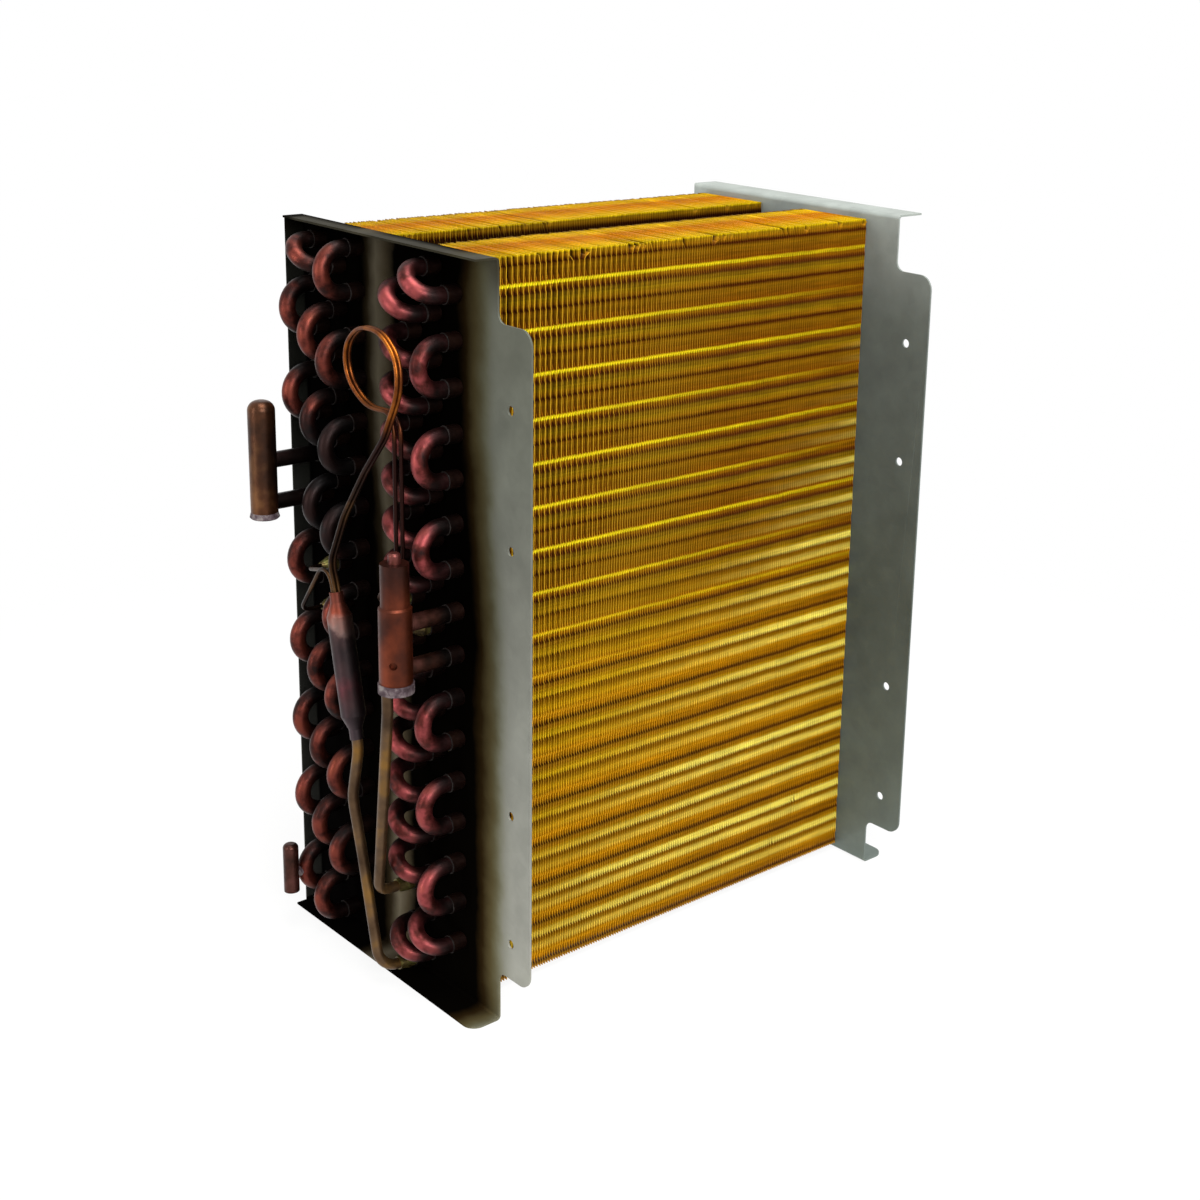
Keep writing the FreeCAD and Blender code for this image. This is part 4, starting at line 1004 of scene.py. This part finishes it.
def bend_copper():
    tones = ("#200C08", "#4E2018", "#844440", "#8C4C40")
    material = burn_and_shade_joint(copper("flux_cleaned_copper", tones, 0.42), 30)
    tree, shader, stained, place = reopen_finish(material)
    deep = add(tree, "SeparateXYZ", {0: place}).outputs["Y"]
    rear = add(tree, "MapRange", {"Value": deep, **TINT_CHANGES})
    tint = add(tree, "ValToRGB", {"Fac": rear}, stops=BEND_TINTS)
    mixed = add(
        tree, "MixRGB", {"Fac": 1.0, "Color1": stained, "Color2": tint}, blend_type="MULTIPLY"
    )
    plug(tree, shader, {"Base Color": mixed})
    # Painted shade over the bends beside the rear header's stubs.
    return darken_round(material, REAR_STUBS, 34, 52, 0.93)


finishes["bend_copper"] = bend_copper()
print("mixed", finishes["bend_copper"].name)

# %% [markdown]
# ## Capillaries
#
# The thin feed tubes come off a bright coil of new copper. The loop was bent last and is still
# orange; below it the torch has browned them, most near the front. The change goes by height,
# swayed by 10 mm so that the two tubes that run side by side don't change on one line.

# %% Mix the capillaries' copper
# The heights between which they turn bright, and the depths between which the brown lightens.
TURNS_BRIGHT = {"From Min": 332 * MM, "From Max": 362 * MM}
LIGHTENS = {"From Min": 30 * MM, "From Max": 50 * MM}


def capillary_copper():
    tones = ("#220C04", "#60300E", "#905014")
    material = copper("bright_capillary_copper", tones, 0.34, 18, 0.9)
    tree, shader, bright, place = reopen_finish(material)
    axes = add(tree, "SeparateXYZ", {0: place})
    deep, high = axes.outputs["Y"], axes.outputs["Z"]
    level = add(tree, "Math", {0: high, 1: sway(tree, place, 20, 10 * MM)}, operation="ADD")
    clean = add(tree, "MapRange", {"Value": level, **TURNS_BRIGHT}, **SMOOTH)
    patches = add(tree, "TexNoise", {"Vector": place, "Scale": 1 / (24 * MM), **CLOUDY})
    brown = add(
        tree, "ValToRGB", {"Fac": patches},
        stops=((0.3, "#140A06"), (0.5, "#28170C"), (0.7, "#483016")),
    )
    rearward = add(tree, "MapRange", {"Value": deep, **LIGHTENS})
    brown = add(tree, "MixRGB", {"Fac": rearward, "Color1": "#1E0A06", "Color2": brown})
    mixed = add(tree, "MixRGB", {"Fac": clean, "Color1": brown, "Color2": bright})
    plug(tree, shader, {"Base Color": mixed})
    return material


finishes["capillary_copper"] = capillary_copper()
print("mixed", finishes["capillary_copper"].name)

# %% [markdown]
# ## Strainer
#
# The strainer is a copper tube spun down at both ends. Heat coloured it in rings, red at the neck
# and then greys with one ring of pink, and between them a pale band at the shoulder is a painted
# highlight. So a ramp over its height is mixed with the patches. Its side toward the headers gets
# painted shade, which a direction across it picks out.

# %% Mix the strainer's copper
STRAINER_ENDS = {"From Min": 154 * MM, "From Max": 239 * MM}
# From its lower end to its neck; the pale stops at the shoulder are a painted highlight.
HEAT_RINGS_AND_HIGHLIGHT = (
    (0.0, "#4C4046"), (0.2, "#3A2C30"), (0.32, "#46262A"), (0.38, "#5E2A32"),
    (0.46, "#38262A"), (0.62, "#241A1C"), (0.71, "#3E2A2A"), (0.77, "#8E7068"),
    (0.83, "#946458"), (0.89, "#8A381E"), (0.97, "#6A2A16"),
)
RING_SHARE = 0.65
# Across the strainer toward the headers, square to its leaning axis, and where the painted shade
# grows.
TOWARD_HEADERS = (0.737, -0.676, 0.111)
STRAINER_SHADE_GROWS = {"From Min": -47.5 * MM, "From Max": -41.0 * MM, "To Max": 0.8}


def strainer_copper():
    material = copper("spun_copper", ("#1E1618", "#342726", "#483634"), 0.4, 10)
    tree, shader, body, place = reopen_finish(material)
    high = add(tree, "SeparateXYZ", {0: place}).outputs["Z"]
    level = add(tree, "Math", {0: high, 1: sway(tree, place, 9, 11 * MM)}, operation="ADD")
    share = add(tree, "MapRange", {"Value": level, **STRAINER_ENDS})
    rings = add(tree, "ValToRGB", {"Fac": share}, stops=HEAT_RINGS_AND_HIGHLIGHT)
    heat_tinted_and_highlit = add(tree, "MixRGB", {"Fac": RING_SHARE, "Color1": body, "Color2": rings})
    across = add(tree, "VectorMath", {0: place, 1: TOWARD_HEADERS}, operation="DOT_PRODUCT")
    side = add(tree, "MapRange", {"Value": across.outputs["Value"], **STRAINER_SHADE_GROWS})
    # Painted shade on the side toward the headers.
    shade_painted = add(tree, "MixRGB", {"Fac": side, "Color1": heat_tinted_and_highlit, "Color2": "#080505"})
    plug(tree, shader, {"Base Color": shade_painted})
    return material


finishes["strainer_copper"] = strainer_copper()
print("mixed", finishes["strainer_copper"].name)

# %% [markdown]
# ## Brazing alloy
#
# The joints are run with a silver-bearing rod. Set, it is a soft grey metal with flux glass on it,
# rougher than the tube. It finishes the collar, the cap, the saddle and the ring of filler at each
# bell. One finish serves them all: it is grey far out and dark near the sheet, burnt there and
# with painted shade, as the copper beside it is.

# %% Mix the brazing alloy
# Burnt and painted shade near the sheet.
BURNT_AND_SHADED_ALLOY = "#0A0804"
BURN_AND_SHADE_NEAR_SHEET = {"From Min": -12 * MM, "From Max": -6 * MM, "To Max": 0.9}


def brazing():
    material, tree, shader, place = start_finish("set_brazing_alloy", metallic=0.3, roughness=0.7)
    flux = add(
        tree, "TexNoise", {"Vector": place, "Scale": 1 / (4 * MM), **CLOUDY, "Detail": 4.0}
    )
    tone = add(
        tree, "ValToRGB", {"Fac": flux},
        stops=((0.3, "#2A2022"), (0.5, "#4C4044"), (0.7, "#7A7270")),
    )
    out = add(tree, "SeparateXYZ", {0: place}).outputs["X"]
    burnt_and_shaded = add(tree, "MapRange", {"Value": out, **BURN_AND_SHADE_NEAR_SHEET})
    mixed = add(tree, "MixRGB", {"Fac": burnt_and_shaded, "Color1": tone, "Color2": BURNT_AND_SHADED_ALLOY})
    plug(tree, shader, {"Base Color": mixed, "Specular IOR Level": 0.1})
    roughen(tree, place, shader, 1.2, strength=0.4, depth_mm=0.3)
    return material


finishes["solder_grey"] = brazing()
print("mixed", finishes["solder_grey"].name)

# %% [markdown]
# ## Dressing the solids
#
# The solid model names a slot for each of its nodes. Going by slot rather than by node keeps this
# short, and a node that is renamed or added still gets its finish.

# %% Give every node its finish
finishes["left_sheet_steel"] = left_finish
finishes["right_sheet_steel"] = right_finish
finishes["fin_aluminium"] = fin_finish
for part in frame["record"]["subparts"]:
    node = nodes[part["node"]]
    node.data.materials.clear()
    node.data.materials.append(finishes[part["material_slot"]])
print(len(nodes), "nodes finished in", len(finishes), "finishes")

# %% [markdown]
# ## Rings of filler
#
# At each bell the filler draws up into a small ring between the tube and the flared mouth. A torus
# would be too even, so a small circle is spun round the tube and its points are then pushed in and
# out a little. No two rings are of a size, as the torch left more or less rod. The hundred rings
# are one piece, because they share one finish and never move apart.

# %% Spin one ring
RING_RADIUS = TUBE / 2 + 0.15 * MM
BEAD = 0.45 * MM
BEAD_SIZES = (0.8, 1.25)
BEAD_SIDES, RING_STEPS = 6, 16
PUSHED = (-0.03, 0.05)
OUTWARD = Vector((-1, 0, 0))


def braze_ring(shape, centre, bead, chance):
    """Spins a bead of filler round a tube and roughens it."""
    turn = Vector((0, 0, 1)).rotation_difference(OUTWARD).to_matrix()
    upright = Matrix.Rotation(math.pi / 2, 3, "X")
    before = len(shape.verts)
    small = bmesh.ops.create_circle(shape, segments=BEAD_SIDES, radius=bead)["verts"]
    bmesh.ops.rotate(shape, verts=small, cent=(0, 0, 0), matrix=upright)
    bmesh.ops.translate(shape, verts=small, vec=(RING_RADIUS, 0, 0))
    edges = list(dict.fromkeys(edge for vert in small for edge in vert.link_edges))
    bmesh.ops.spin(
        shape, geom=small + edges, cent=(0, 0, 0), axis=(0, 0, 1), angle=2 * math.pi,
        steps=RING_STEPS, use_merge=True,
    )
    shape.verts.ensure_lookup_table()
    for vert in shape.verts[before:]:
        grown = 1 + chance.uniform(*PUSHED)
        pushed = Vector((vert.co.x * grown, vert.co.y * grown, vert.co.z))
        vert.co = centre + turn @ pushed


print("rings of", round(RING_RADIUS / MM, 2), "mm radius and", round(BEAD / MM, 2), "mm bead")

# %% Put a ring at each bell
# A bell ends this far out from the left sheet.
BELL_OUT = 9.0 * MM


def ring_piece(name, centres, seed):
    chance = random.Random(seed)
    shape = bmesh.new()
    for centre in centres:
        braze_ring(shape, Vector(centre), BEAD * chance.uniform(*BEAD_SIZES), chance)
    bmesh.ops.recalc_face_normals(shape, faces=shape.faces)
    piece = make_piece(name, shape)
    for face in piece.data.polygons:
        face.use_smooth = True
    piece.data.materials.append(finishes["solder_grey"])
    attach(piece, "root")
    print(name, len(centres), "rings,", len(piece.data.polygons) * 2, "triangles")


ring_piece("bell_brazing", [(LEFT_FACE - BELL_OUT, *place) for place in tube_places()], 21)
